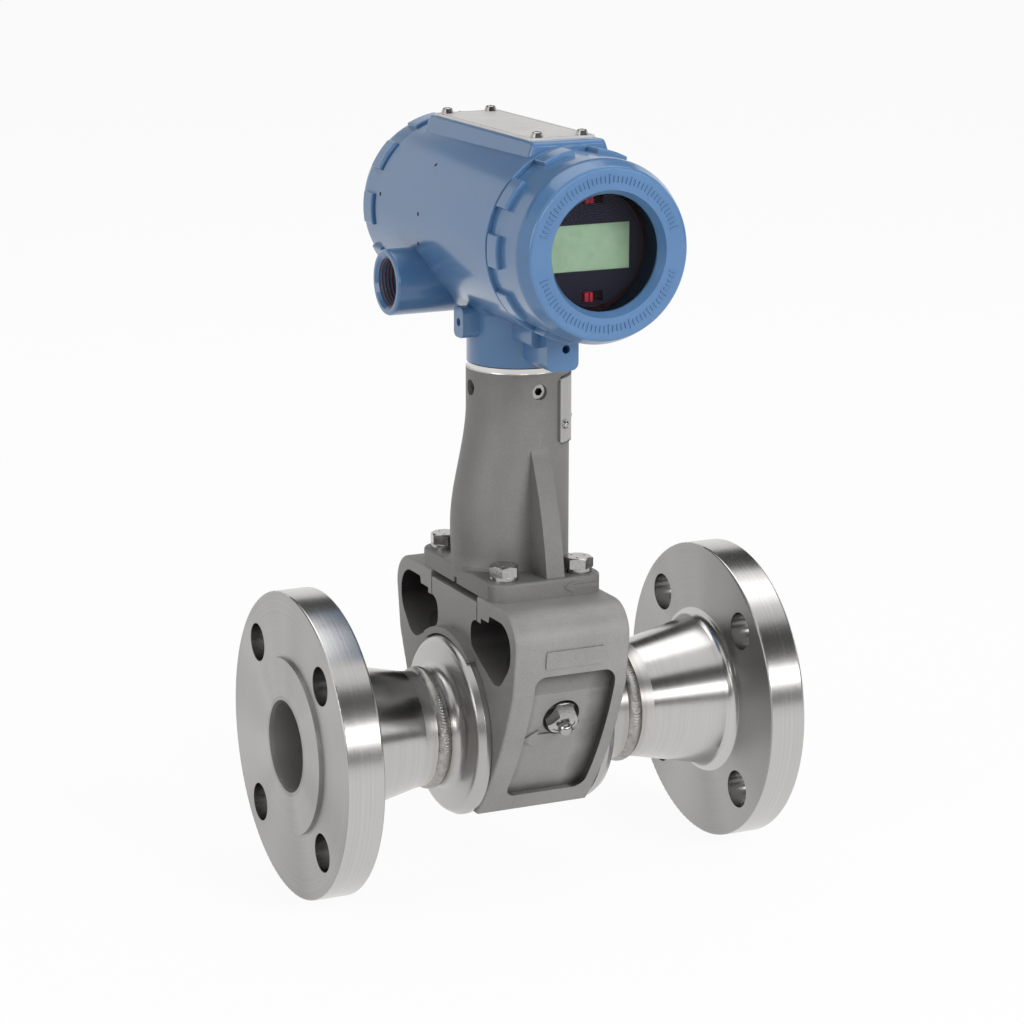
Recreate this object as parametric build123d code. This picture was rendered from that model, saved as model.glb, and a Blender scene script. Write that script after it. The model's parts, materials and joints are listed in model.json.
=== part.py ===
from build123d import *
import math
import os

# Vortex flow meter for a 1 1/2 inch line: a cored cast body with a shedder bar across its bore,
# two weld-neck flanges, a cast support tube and a two-chamber electronics housing on top.
# Millimetres. While the pieces are made, X runs along the pipe from mid-length towards the
# inlet, -Y faces the display and Z = 0 is the pipe axis. The parts are written with the origin
# at the middle of the inlet flange's bolt face, just behind its raised face, with the line
# running from there towards -X.

# Driving dimensions

# Line and welded ends
face_to_face = 208.3
bore_r = 19.05
pipe_r = 24.15
weld_land = 1.6
weld_half_width = 3.0
weld_crown = 1.2

# Weld-neck raised face flanges, class 150
flange_r = 63.5
flange_thickness = 15.9
flange_length = 60.5
flange_edge = 1.0
raised_face_r = 36.5
raised_face_height = 1.6
hub_base_r = 32.5
hub_straight = 6.0
hub_fillet = 5.0
bolt_circle_r = 49.2
bolt_hole_r = 7.94
bolt_hole_count = 4

# Cast meter body, the cored shell
body_left = -29.0
body_right = 22.0
deck_z = 60.5
deck_half_width = 62.5
shoulder_round = 13.0
knee_inset = 4.9
knee_z = 27.0
flank_inset = 19.5
flank_z = -4.2
foot_y = 21.6
foot_z = -33.4
cast_edge = 1.2
parting_z = 0.0

# The two cored pockets and the pedestal between them
pocket_wall = 7.2
pocket_elbow_z = 39.0
pocket_elbow_round = 12.0
pocket_low_inset = 19.5
pocket_low_z = 25.5
pocket_low_round = 9.0
pocket_floor_y = 24.0
pocket_floor_z = 34.5
deck_thickness = 5.5
lug_thickness = 8.5
lug_outer_y = 35.0
lug_inner_y = 26.5
lug_lip = 2.2
lug_draft = 1.0
pedestal_head_half = 22.4
pedestal_waist_half = 16.5
pedestal_head_height = 7.8
head_gap = 2.7
slit_width = 0.8
pedestal_foot_z = 38.5
core_round = 5.0
pedestal_fillet = 5.5

# Turned body ends
rim_r = 38.0
rim_width = 2.5
rim_edge = 0.5
dish_outer_r = 36.0
dish_outer_along = 6.0
dish_outer_round = 2.8
dish_length = 7.2
dish_round = 4.0
foot_pad_r = 41.0
foot_pad_height = 4.0
foot_pad_root = 2.0
foot_pad_gap = 0.1
foot_pad_half_angle = 33.0

# Walls of the casting: recess, blank pad, flow arrow
recess_left = -19.5
recess_right = 16.5
recess_top = 34.0
recess_bottom = -25.0
recess_depth = 3.0
recess_round = 5.0
blank_pad_length = 25.5
blank_pad_height = 7.5
blank_pad_x = -2.6
blank_pad_z = 41.2
blank_pad_lift = 0.7
blank_pad_round = 0.8
arrow_tip_x = -19.0
arrow_length = 23.5
arrow_head_length = 6.5
arrow_head_width = 8.4
arrow_shaft_width = 4.0
arrow_z = 3.9
arrow_lift = 0.7
mark_root = 0.2

# Shedder bar across the bore, seen from above
shedder_width = 10.4
shedder_tail_width = 3.4
shedder_length = 14.0
shedder_x = -1.0
shedder_root = 0.5

# Sensor pocket and sensor
sensor_pocket_r = 9.0
sensor_pocket_floor = 36.0
sensor_tip_r = 5.0
sensor_tip_floor = 27.0
sensor_clearance = 0.2
sensor_flange_top = 42.0
sensor_stem_r = 4.6
sensor_stem_top = 66.0
seal_thickness = 1.6
sensor_nut_hex = 17.0
sensor_nut_head = 5.0
cable_r = 1.6
connector_r = 3.2
connector_length = 7.0

# Cavity fitting in the near wall, square to the axis that leans 45 degrees down
cavity_x = -3.3
cavity_inset = 17.5
cavity_z = 17.0
cavity_lean = 45.0
spot_face_r = 8.0
cavity_thread_r = 4.6
cavity_stub_length = 12.0
cavity_stub_reach = 9.0
cavity_washer_r = 6.8
cavity_washer_thickness = 1.3
cavity_washer_gap = 0.3
cavity_nut_hex = 12.4
cavity_nut_height = 6.4
cavity_ball_r = 3.0
cavity_ball_neck = 1.8
thread_clearance = 0.15
hex_chamfer = 0.3

# Support tube casting with its base plate
plate_centre_x = -3.3
plate_length_x = 50.0
plate_length_y = 77.0
plate_thickness = 7.5
plate_corner = 8.0
plate_notch = 2.4
plate_bolt_x = 16.6
plate_bolt_y = 29.4
neck_r = 21.1
neck_top = 149.6
neck_lean = 7.6
neck_lean_low = 84.0
neck_lean_end = 15.6
neck_lean_top = 0.3
neck_foot_fillet = 3.0
neck_foot_sunk = 0.4
neck_bore_r = 13.0
band_r = 20.7
band_height = 2.1
rib_width = 8.0
rib_top = 119.0
rib_foot_y = 36.5
rib_bow = 3.0
rib_root = 0.5
neck_loft_steps = 5
plate_arrow_length = 15.0
plate_arrow_x = 10.2
plate_arrow_head = 4.0
plate_arrow_width = 5.0
plate_arrow_shaft = 1.8
plate_arrow_lift = 0.4

# Base plate bolts
plate_bolt_r = 3.175
plate_bolt_hex = 11.1
plate_bolt_head = 4.4
plate_bolt_length = 16.5
plate_washer_r = 5.9
plate_washer_thickness = 1.9
washer_gap = 0.9
bolt_turn = 17.0
bolt_clearance = 0.25
washer_first_turn = 80.0
washer_turn_step = 60.0

# Set screws that lock the housing, at 90 degree steps with one place left free
set_screw_drop = 7.6
set_screw_r = 3.1
set_screw_socket = 3.0
set_screw_length = 4.0
set_screw_sunk = 1.6
set_screw_point = 0.8
set_screw_socket_depth = 2.2
set_screw_angles = (180.0, 270.0, 90.0)

# Curved tag on the support tube
tag_drop = 2.6
tag_height = 28.0
tag_start = 25.0
tag_span = 72.0
tag_thickness = 0.8
tag_gap = 0.05
tag_corner = 3.0
tag_rivet_rise = 8.0
tag_rivet_inset = 11.0
tag_rivet_r = 1.9

# Electronics housing, its axis measured up from the collar's lower end
housing_rise = 55.4
housing_front = 51.5
housing_rear = 61.3
housing_front_r = 38.2
housing_rear_r = 37.2
housing_edge = 0.5
cover_bore_r = 34.6
cover_bore_depth = 14.0
chamber_r = 32.6
bulkhead_front = 8.0
bulkhead_rear = 15.0
collar_gap = 0.4
collar_r = 21.1
stem_r = 16.9
stem_clearance = 0.1
stem_length = 22.1
stem_groove_r = 15.2
stem_groove_width = 9.0
stem_passage_r = 6.0
stem_passage_spare = 6.0
stem_ring_major = 19.4
stem_ring_minor = 0.85
ring_seat_depth = 1.6
ring_seat_r = 20.3

# Conduit bosses, one on each side of the terminal chamber
conduit_y = 26.0
conduit_drop = 24.5
conduit_reach = 47.5
conduit_r = 13.6
conduit_thread_r = 10.0
conduit_thread_length = 18.0
conduit_chamfer = 1.2
conduit_step = 1.0

# Raised block under the nameplate
block_rise = 1.3
block_half = 15.6
block_foot_half = 20.0
block_front = 47.5
block_rear = 54.0
block_round = 2.0
nameplate_length = 92.0
nameplate_width = 29.0
nameplate_thickness = 0.8
nameplate_y = 5.0
nameplate_screw_x = 9.8
nameplate_screw_y = 43.0
nameplate_screw_r = 2.7
nameplate_screw_head = 2.2
nameplate_screw_shank = 1.4
nameplate_screw_length = 4.0
nameplate_screw_turn = 25.0
nameplate_corner = 1.5
screw_hole_spare = 0.5

# Foot between barrel and collar
saddle_top_half = 27.9
saddle_top_drop = 24.0
saddle_low_drop = 33.4
saddle_front = 16.9

# Lock and earth lugs under the housing
lock_lug_width = 14.0
lock_lug_front = 42.0
lock_lug_rise = 2.4
lock_lug_height = 17.5
lock_lug_round = 3.0
lock_web_side = 4.0
lock_web_set_back = 6.0
lock_web_rise = 9.0
lock_web_round = 2.0
lock_hole_r = 1.7
lock_hole_x = 1.5
lug_hole_depth = 8.0
lug_root = 6.0
earth_lug_reach = 27.5
earth_lug_width = 9.0
earth_lug_rise = 11.4
earth_lug_height = 12.5
earth_lug_y = -2.0
earth_lug_round = 2.5

# Screwed covers
cover_clearance = 0.3
cover_seat_gap = 0.2
cover_spigot = 12.0
cover_spigot_bore = 31.6
cover_flange_r = 36.3
cover_length = 30.8
rear_cover_length = 20.7
cover_shoulder = 6.5
cover_face_r = 33.6
cover_face_round = 1.6
cover_lip_r = 24.8
window_r = 22.9
window_depth = 4.6
cover_lug_r = 38.4
cover_lug_start = 1.2
cover_lug_length = 9.0
cover_lug_count = 10
cover_lug_span = 21.0
cover_lug_draft = 0.4
cover_lug_round = 0.7
rear_cover_wall = 5.0
rear_cover_inner_round = 3.0
window_land = 1.2
window_lip_round = 1.0
cover_ring_minor = 0.8
cover_ring_clearance = 0.1
cover_ring_groove = 2.6

# Window glass and its retaining ring
glass_r = 30.0
glass_thickness = 5.0
glass_seat = 5.6
retainer_inner_r = 26.5
retainer_height = 2.0

# Electronics stack in the front chamber
module_r = 30.4
module_front = 43.0
module_edge = 1.5
module_notch_r = 3.5
module_socket_root = 2.0
module_socket_height = 3.8
socket_gap = 0.3
display_plane = 64.5
bezel_r = 23.4
bezel_depth = 5.0
bezel_wall = 1.6
bezel_edge = 0.8
board_r = 27.5
board_thickness = 1.6
standoff_r = 2.6
standoff_circle_r = 24.6
standoff_count = 3
standoff_turn = 30.0
lcd_width = 36.0
lcd_height = 18.4
lcd_frame = 0.9
lcd_set_back = 0.7
lcd_gap = 0.1
switch_z = 19.2
switch_slot_x = 1.5
switch_slot_width = 9.5
switch_slot_height = 4.4
switch_knob = 3.4
switch_travel = 4.0
switch_proud = 1.4
switch_gap = 0.05
switch_foot = 0.6
switch_groove = 0.8
module_screw_r = 2.6
module_screw_head = 1.8
module_screw_shank = 1.5
module_screw_length = 8.0
module_screw_inset = 8.0

# Terminal block in the rear chamber
block_depth = 17.0
terminal_block_r = 30.5
terminal_block_low = -11.5
terminal_count = 4
terminal_pitch = 11.0
terminal_wall = 1.6
terminal_step = 6.0
terminal_screw_r = 3.2
terminal_screw_head = 2.4
terminal_screw_shank = 1.6
terminal_screw_length = 6.0
terminal_screw_z = -2.0
terminal_bay_top = 8.5
earth_screw_z = -27.0
earth_screw_r = 3.4
earth_screw_head = 2.6
earth_screw_shank = 1.8
earth_screw_length = 5.0

# Derived places
half_length = face_to_face / 2
weld_x = half_length - flange_length
root_r = bore_r + weld_land
plate_top = deck_z + plate_thickness
knee_y = deck_half_width - knee_inset
flank_y = deck_half_width - flank_inset
pocket_outer_y = deck_half_width - pocket_wall
pocket_low_y = deck_half_width - pocket_low_inset
cavity_y = cavity_inset - deck_half_width
neck_lean_high = neck_top - neck_lean_end
band_top = neck_top + band_height
set_screw_z = neck_top - set_screw_drop
tag_high = neck_top - tag_drop
tag_low = tag_high - tag_height
tag_rivet_z = tag_low + tag_rivet_rise
collar_bottom = band_top + collar_gap
stem_bottom = collar_bottom - stem_length
housing_z = collar_bottom + housing_rise
conduit_z = housing_z - conduit_drop
block_top = housing_z + max(housing_front_r, housing_rear_r) + block_rise
saddle_top_z = housing_z - saddle_top_drop
saddle_low_z = housing_z - saddle_low_drop
lock_lug_bottom = collar_bottom + lock_lug_rise
lock_lug_top = lock_lug_bottom + lock_lug_height
earth_lug_bottom = collar_bottom + earth_lug_rise
earth_lug_top = earth_lug_bottom + earth_lug_height
socket_top = housing_z - module_r + module_socket_root
cable_top = socket_top - module_socket_height - socket_gap - connector_length
head_top = deck_z - head_gap
shift_to_inlet = Pos(raised_face_height - half_length, 0, 0)
to_vertical = Rotation(0, -90, 0)
to_front = Pos(0, 0, housing_z) * Rotation(0, 0, -90)
to_rear = Pos(0, 0, housing_z) * Rotation(0, 0, 90)


# Small helpers

def turned(points, rounds=()):
    """Solid of revolution about X, from (along, radius) points; rounds are (along, radius, size)."""
    face = make_face(Polyline(*points, close=True))
    for along, radius, size in rounds:
        corner = face.vertices().sort_by_distance((along, radius, 0))[0]
        face = fillet(corner, size)
    return revolve(face, Axis.X)


def disc(radius, start, end):
    """Cylinder about X between two stations."""
    return Pos((start + end) / 2, 0, 0) * Rotation(0, 90, 0) * Cylinder(radius, abs(end - start))


def tube(outer, inner, start, end):
    """Ring about X between two stations."""
    return disc(outer, start, end) - disc(inner, start - 1, end + 1)


def block(x_range, y_range, z_range):
    """Box given by its limits."""
    size = [high - low for low, high in (x_range, y_range, z_range)]
    middle = [(high + low) / 2 for low, high in (x_range, y_range, z_range)]
    return Pos(*middle) * Box(*size)


def prism(plane, points, depth, rounds=()):
    """Straight extrusion of an outline on a plane; rounds are (u, v, size)."""
    face = make_face(Polyline(*points, close=True))
    for u, v, size in rounds:
        corner = face.vertices().sort_by_distance((u, v, 0))[0]
        face = fillet(corner, size)
    return extrude(plane * face, depth)


def around(piece, count, start=0.0, axis=Axis.X):
    """List of copies evenly spaced about an axis."""
    return [piece.rotate(axis, start + 360 / count * step) for step in range(count)]


def mirrored_y(piece):
    """The piece and its mirror image across the pipe's vertical plane."""
    return [piece, mirror(piece, Plane.XZ)]


def hex_hull(across_flats, length):
    """Turned hull about X that chamfers the corners of a hexagon at its far end."""
    corner_r = across_flats / math.sqrt(3) + hex_chamfer
    top_r = across_flats / 2 - hex_chamfer
    start = length - (corner_r - top_r) * math.tan(math.radians(30))
    return turned([(0, 0), (0, corner_r), (start, corner_r), (length, top_r), (length, 0)])


def on_wall(u, depth=0.0):
    """Plane that looks out of the near wall's flat upper part, with u measured up the wall."""
    rise = deck_z - knee_z
    run = deck_half_width - knee_y
    slope = math.degrees(math.atan2(run, rise))
    place = knee_y + (u - knee_z) * run / rise - depth
    return Plane(origin=(0, -place, u), x_dir=(1, 0, 0),
                 z_dir=(0, -math.cos(math.radians(slope)), -math.sin(math.radians(slope))))


# Flanges and welds

def flange():
    """Weld-neck flange with its raised face at X = 0 and its weld end towards -X."""
    back = -(raised_face_height + flange_thickness)
    profile = [
        (0, 0),
        (0, raised_face_r),
        (-raised_face_height, raised_face_r),
        (-raised_face_height, flange_r),
        (back, flange_r),
        (back, hub_base_r),
        (-flange_length + hub_straight, pipe_r),
        (-flange_length + weld_half_width, pipe_r),
        (-flange_length, root_r),
        (-flange_length, 0),
    ]
    rounds = [
        (-raised_face_height, flange_r, flange_edge),
        (back, flange_r, flange_edge),
        (back, hub_base_r, hub_fillet),
        (-flange_length + hub_straight, pipe_r, 4 * hub_fillet),
    ]
    body = turned(profile, rounds)
    body -= disc(bore_r, -flange_length - 1, 1)
    hole = Pos(0, bolt_circle_r, 0) * disc(bolt_hole_r, back - 1, 1)
    for cutter in around(hole, bolt_hole_count, 180 / bolt_hole_count):
        body -= cutter
    return body


def weld():
    """Butt weld that fills the two bevels, with a crowned cap, centred on X = 0."""
    sides = Polyline((-weld_half_width, pipe_r), (0, root_r), (weld_half_width, pipe_r))
    cap = ThreePointArc((weld_half_width, pipe_r), (0, pipe_r + weld_crown), (-weld_half_width, pipe_r))
    return revolve(make_face(sides + cap), Axis.X)


# Meter body casting

def shell_outline(inset=0.0):
    """Outer outline of the casting across the pipe: local X is Y, local Y is Z."""
    half = Polyline((0, foot_z), (foot_y, foot_z))
    half += ThreePointArc((foot_y, foot_z), (flank_y, flank_z), (knee_y, knee_z))
    half += Polyline((knee_y, knee_z), (deck_half_width, deck_z), (0, deck_z))
    face = make_face(half + mirror(half, Plane.YZ))
    for side in (-1, 1):
        corner = face.vertices().sort_by_distance((side * deck_half_width, deck_z, 0))[0]
        face = fillet(corner, shoulder_round)
    return offset(face, -inset) if inset else face


def shell_block():
    """The casting's outside before it is cored."""
    solid = extrude(Plane.YZ.offset(body_left) * shell_outline(), body_right - body_left)
    ends = solid.faces().sort_by(Axis.X)
    return fillet(ends[0].outer_wire().edges() + ends[-1].outer_wire().edges(), cast_edge)


def pocket():
    """Core of the pocket on the +Y side, right through along X."""
    under_deck = deck_z - deck_thickness
    under_lug = deck_z - lug_thickness
    lip = under_lug - lug_lip
    head_low = head_top - pedestal_head_height
    points = [
        (pedestal_waist_half, pedestal_foot_z),
        (pocket_floor_y, pocket_floor_z),
        (pocket_low_y, pocket_low_z),
        (pocket_outer_y, pocket_elbow_z),
        (pocket_outer_y, under_deck),
        (lug_outer_y, under_deck),
        (lug_outer_y - lug_draft, under_lug),
        (lug_inner_y, under_lug),
        (lug_inner_y, lip),
        (pedestal_head_half + slit_width, lip),
        (pedestal_head_half + slit_width, head_low),
        (pedestal_waist_half, head_low),
    ]
    rounds = [
        (pedestal_waist_half, pedestal_foot_z, core_round),
        (pocket_low_y, pocket_low_z, pocket_low_round),
        (pocket_outer_y, pocket_elbow_z, pocket_elbow_round),
        (pocket_outer_y, under_deck, shoulder_round - deck_thickness / 2),
        (pedestal_waist_half, head_low, pedestal_fillet),
    ]
    length = body_right - body_left + 2
    return prism(Plane.YZ.offset(body_left - 1), points, length, rounds)


def slit():
    """Saw-thin gap that frees the pedestal head from the deck on the +Y side."""
    low = head_top - pedestal_head_height
    return block((body_left - 1, body_right + 1),
                 (pedestal_head_half, pedestal_head_half + slit_width), (low - 0.5, deck_z + 1))


def turned_end(face_x, outward):
    """Rim, dish and weld end on one face of the casting, about the pipe axis."""
    length = weld_x - outward * face_x
    points = [
        (0, 0),
        (0, rim_r),
        (rim_width, rim_r),
        (dish_outer_along, dish_outer_r),
        (dish_length, pipe_r),
        (length - weld_half_width, pipe_r),
        (length, root_r),
        (length, 0),
    ]
    rounds = [
        (dish_outer_along, dish_outer_r, dish_outer_round),
        (dish_length, pipe_r, dish_round),
        (0, rim_r, rim_edge),
        (rim_width, rim_r, rim_edge),
    ]
    solid = turned(points, rounds) - disc(bore_r, -1, length + 1)
    if outward < 0:
        solid = mirror(solid, Plane.YZ)
    return Pos(face_x, 0, 0) * solid


def foot_pad(face_x, outward):
    """Arc pad at the pedestal's foot, around the top of the rim."""
    inner_x, outer_x = sorted((face_x - outward * foot_pad_root, face_x + outward * foot_pad_height))
    ring = tube(foot_pad_r, rim_r + foot_pad_gap, inner_x, outer_x)
    reach = foot_pad_r * 2
    side = reach * math.tan(math.radians(foot_pad_half_angle))
    wedge = prism(Plane.YZ.offset(face_x - reach), [(0, 0), (side, reach), (-side, reach)], 2 * reach)
    return ring & wedge


def wall_skin(top_depth, bottom_depth):
    """Skin of the casting's outside between two depths, longer than the casting."""
    reach = body_right - body_left
    outer = extrude(Plane.YZ * shell_outline(top_depth), reach, both=True)
    return outer - extrude(Plane.YZ * shell_outline(bottom_depth), reach, both=True)


def wall_recess():
    """Shallow tray in the near wall that follows the wall's curve."""
    window = Pos((recess_left + recess_right) / 2, 0, (recess_top + recess_bottom) / 2) * Rotation(90, 0, 0) \
        * extrude(RectangleRounded(recess_right - recess_left, recess_top - recess_bottom, recess_round),
                  deck_half_width + 5)
    return wall_skin(0, recess_depth) & window


def arrow(tip_x, length, head_length, head_width, shaft_width):
    """Flat arrow outline that points to -X, its axis on the local X axis."""
    head_x = tip_x + head_length
    tail_x = tip_x + length
    return [
        (tip_x, 0),
        (head_x, head_width / 2),
        (head_x, shaft_width / 2),
        (tail_x, shaft_width / 2),
        (tail_x, -shaft_width / 2),
        (head_x, -shaft_width / 2),
        (head_x, -head_width / 2),
    ]


def cavity_axis():
    """Frame of the cavity fitting: its local Z leaves the wall, leaning down."""
    lean = math.radians(cavity_lean)
    return Plane(origin=(cavity_x, cavity_y, cavity_z), x_dir=(1, 0, 0),
                 z_dir=(0, -math.cos(lean), -math.sin(lean)))


def sensor_pocket():
    """Stepped blind pocket down the pedestal, about the Z axis."""
    points = [
        (sensor_tip_floor, 0),
        (sensor_tip_floor, sensor_tip_r),
        (sensor_pocket_floor, sensor_tip_r),
        (sensor_pocket_floor, sensor_pocket_r),
        (deck_z + 1, sensor_pocket_r),
        (deck_z + 1, 0),
    ]
    return to_vertical * turned(points)


def shedder_bar():
    """Blunt-faced bar across the bore; the wide face meets the flow from +X."""
    front = shedder_x + shedder_length / 2
    back = shedder_x - shedder_length / 2
    points = [
        (front, -shedder_width / 2),
        (front, shedder_width / 2),
        (back, shedder_tail_width / 2),
        (back, -shedder_tail_width / 2),
    ]
    bar = prism(Plane.XY.offset(-bore_r * 2), points, bore_r * 4)
    return bar & disc(bore_r + shedder_root, back - 5, front + 5)


def deck_bolt_places():
    """The four places of the base plate bolts."""
    return [(plate_centre_x + sx * plate_bolt_x, sy * plate_bolt_y) for sx in (-1, 1) for sy in (-1, 1)]


def casting():
    """The whole casting between its turned ends, with pedestal, bore and shedder bar."""
    body = shell_block()
    for core in mirrored_y(pocket()) + mirrored_y(slit()):
        body -= core
    body -= block((body_left - 1, body_right + 1), (-pedestal_head_half, pedestal_head_half),
                  (head_top, deck_z + 1))
    for recess in mirrored_y(wall_recess()):
        body -= recess
    body += foot_pad(body_left, -1) + foot_pad(body_right, 1)
    body -= disc(bore_r, body_left - 1, body_right + 1)
    body += shedder_bar()
    body -= sensor_pocket()
    for x, y in deck_bolt_places():
        body -= Pos(x, y, deck_z) * Cylinder(plate_bolt_r + thread_clearance, 4 * lug_thickness)
    pad = extrude(on_wall(blank_pad_z) * Pos(blank_pad_x, 0, 0)
                  * RectangleRounded(blank_pad_length, blank_pad_height, blank_pad_round), blank_pad_lift)
    body += pad + mirror(pad, Plane.XZ)
    outline = arrow(arrow_tip_x, arrow_length, arrow_head_length, arrow_head_width, arrow_shaft_width)
    mark = prism(Plane(origin=(0, 0, arrow_z), x_dir=(1, 0, 0), z_dir=(0, -1, 0)), outline, deck_half_width)
    body += wall_skin(recess_depth - arrow_lift, recess_depth + mark_root) & mark
    frame = cavity_axis()
    body -= extrude(frame * Circle(spot_face_r), 2 * spot_face_r)
    tapped = Circle(cavity_thread_r + thread_clearance)
    body -= extrude(frame * tapped, -cavity_stub_length - screw_hole_spare)
    return body


def casting_halves():
    """The casting above and below its parting plane through the pipe axis."""
    whole = casting()
    level = Plane.XY.offset(parting_z)
    return split(whole, level, keep=Keep.TOP), split(whole, level, keep=Keep.BOTTOM)


def vortex_sensor():
    """Stepped sensor capsule that seats in the pedestal pocket."""
    top = sensor_flange_top
    points = [
        (sensor_tip_floor + sensor_clearance, 0),
        (sensor_tip_floor + sensor_clearance, sensor_tip_r - sensor_clearance),
        (sensor_pocket_floor, sensor_tip_r - sensor_clearance),
        (sensor_pocket_floor, sensor_pocket_r - sensor_clearance),
        (top, sensor_pocket_r - sensor_clearance),
        (top, sensor_stem_r),
        (sensor_stem_top, sensor_stem_r),
        (sensor_stem_top, 0),
    ]
    return to_vertical * turned(points, [(top, sensor_pocket_r - sensor_clearance, 0.5)])


def sensor_seal():
    """Flat seal ring between the sensor flange and its nut."""
    return to_vertical * tube(sensor_pocket_r - 2 * sensor_clearance, sensor_stem_r + sensor_clearance,
                              sensor_flange_top, sensor_flange_top + seal_thickness)


def sensor_nut():
    """Screwed gland nut that clamps the sensor, with its hexagon above the pedestal head."""
    low = sensor_flange_top + seal_thickness
    barrel = disc(sensor_pocket_r - sensor_clearance, low, head_top)
    nut = to_vertical * barrel
    hexagon = RegularPolygon(sensor_nut_hex / 2, 6, major_radius=False)
    nut += extrude(Plane.XY.offset(head_top) * hexagon, sensor_nut_head)
    bore = Cylinder(sensor_stem_r + sensor_clearance, 2 * (head_top - low) + 2 * sensor_nut_head)
    return nut - Pos(0, 0, head_top) * bore


def sensor_cable():
    """Coaxial lead straight up the tube's axis, with its connector at the top."""
    lead = Pos(0, 0, sensor_stem_top) * Cylinder(
        cable_r, cable_top - sensor_stem_top, align=(Align.CENTER, Align.CENTER, Align.MIN))
    plug = Pos(0, 0, cable_top) * Cylinder(
        connector_r, connector_length, align=(Align.CENTER, Align.CENTER, Align.MIN))
    return lead + plug


# Cavity fitting, in the frame of cavity_axis

def cavity_stub():
    """Threaded stub with a ball end."""
    frame = cavity_axis()
    ball_at = cavity_stub_reach + cavity_ball_neck
    stub = extrude(frame.offset(-cavity_stub_length) * Circle(cavity_thread_r),
                   cavity_stub_length + cavity_stub_reach)
    stub += frame.location * Pos(0, 0, ball_at) * Sphere(cavity_ball_r)
    return stub


def cavity_washers():
    """Two plain washers under the nut, as separate rings."""
    frame = cavity_axis()
    rings = []
    for step in range(2):
        start = step * (cavity_washer_thickness + cavity_washer_gap)
        ring = Circle(cavity_washer_r) - Circle(cavity_thread_r + thread_clearance)
        rings.append(extrude(frame.offset(start) * ring, cavity_washer_thickness))
    return rings


def cavity_nut():
    """Hexagon nut over the washers, chamfered at its outer face."""
    frame = cavity_axis()
    start = 2 * cavity_washer_thickness + cavity_washer_gap
    hexagon = RegularPolygon(cavity_nut_hex / 2, 6, major_radius=False) \
        - Circle(cavity_thread_r + thread_clearance)
    nut = extrude(frame.offset(start) * hexagon, cavity_nut_height)
    return nut & (frame.offset(start).location * to_vertical * hex_hull(cavity_nut_hex, cavity_nut_height))


# Support tube

def neck_lean_at(z):
    """How far the section stretches towards -X at a height: all at the foot, none at the top."""
    share = min(max((z - neck_lean_low) / (neck_lean_high - neck_lean_low), 0), 1)
    smooth = share * share * (3 - 2 * share)
    return neck_lean * (1 - smooth) + neck_lean_top * smooth


def neck_section(z, flare=0.0):
    """Rounded section of the tube at a height: two half circles apart by the lean."""
    lean = neck_lean_at(z)
    return Plane.XY.offset(z) * Pos(-lean / 2, 0, 0) * SlotCenterToCenter(lean, 2 * (neck_r + flare))


def neck_foot():
    """Hollow flare that blends the tube into the plate, as a loft of shrinking sections."""
    sections = []
    for turn in (0, 30, 60, 90):
        angle = math.radians(turn)
        rise = neck_foot_fillet * (1 - math.cos(angle))
        flare = (neck_foot_fillet + neck_foot_sunk) * (1 - math.sin(angle)) - neck_foot_sunk
        sections.append(neck_section(plate_top + rise, flare))
    return loft(sections, ruled=True)


def neck_rib(side):
    """Tapering stiffening rib on the near or far side, with a bowed edge."""
    top = (0, rib_top)
    middle_y = (neck_r + rib_foot_y) / 2 + rib_bow
    middle_z = (rib_top + plate_top) / 2 - rib_bow
    edge = ThreePointArc((neck_r - rib_root, rib_top), (middle_y, middle_z), (rib_foot_y, plate_top))
    rest = Polyline((rib_foot_y, plate_top), (rib_foot_y, plate_top - 1), (0, plate_top - 1), top,
                    (neck_r - rib_root, rib_top))
    web = extrude(Plane.YZ.offset(-rib_width / 2) * make_face(edge + rest), rib_width)
    return web if side > 0 else mirror(web, Plane.XZ)


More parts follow.
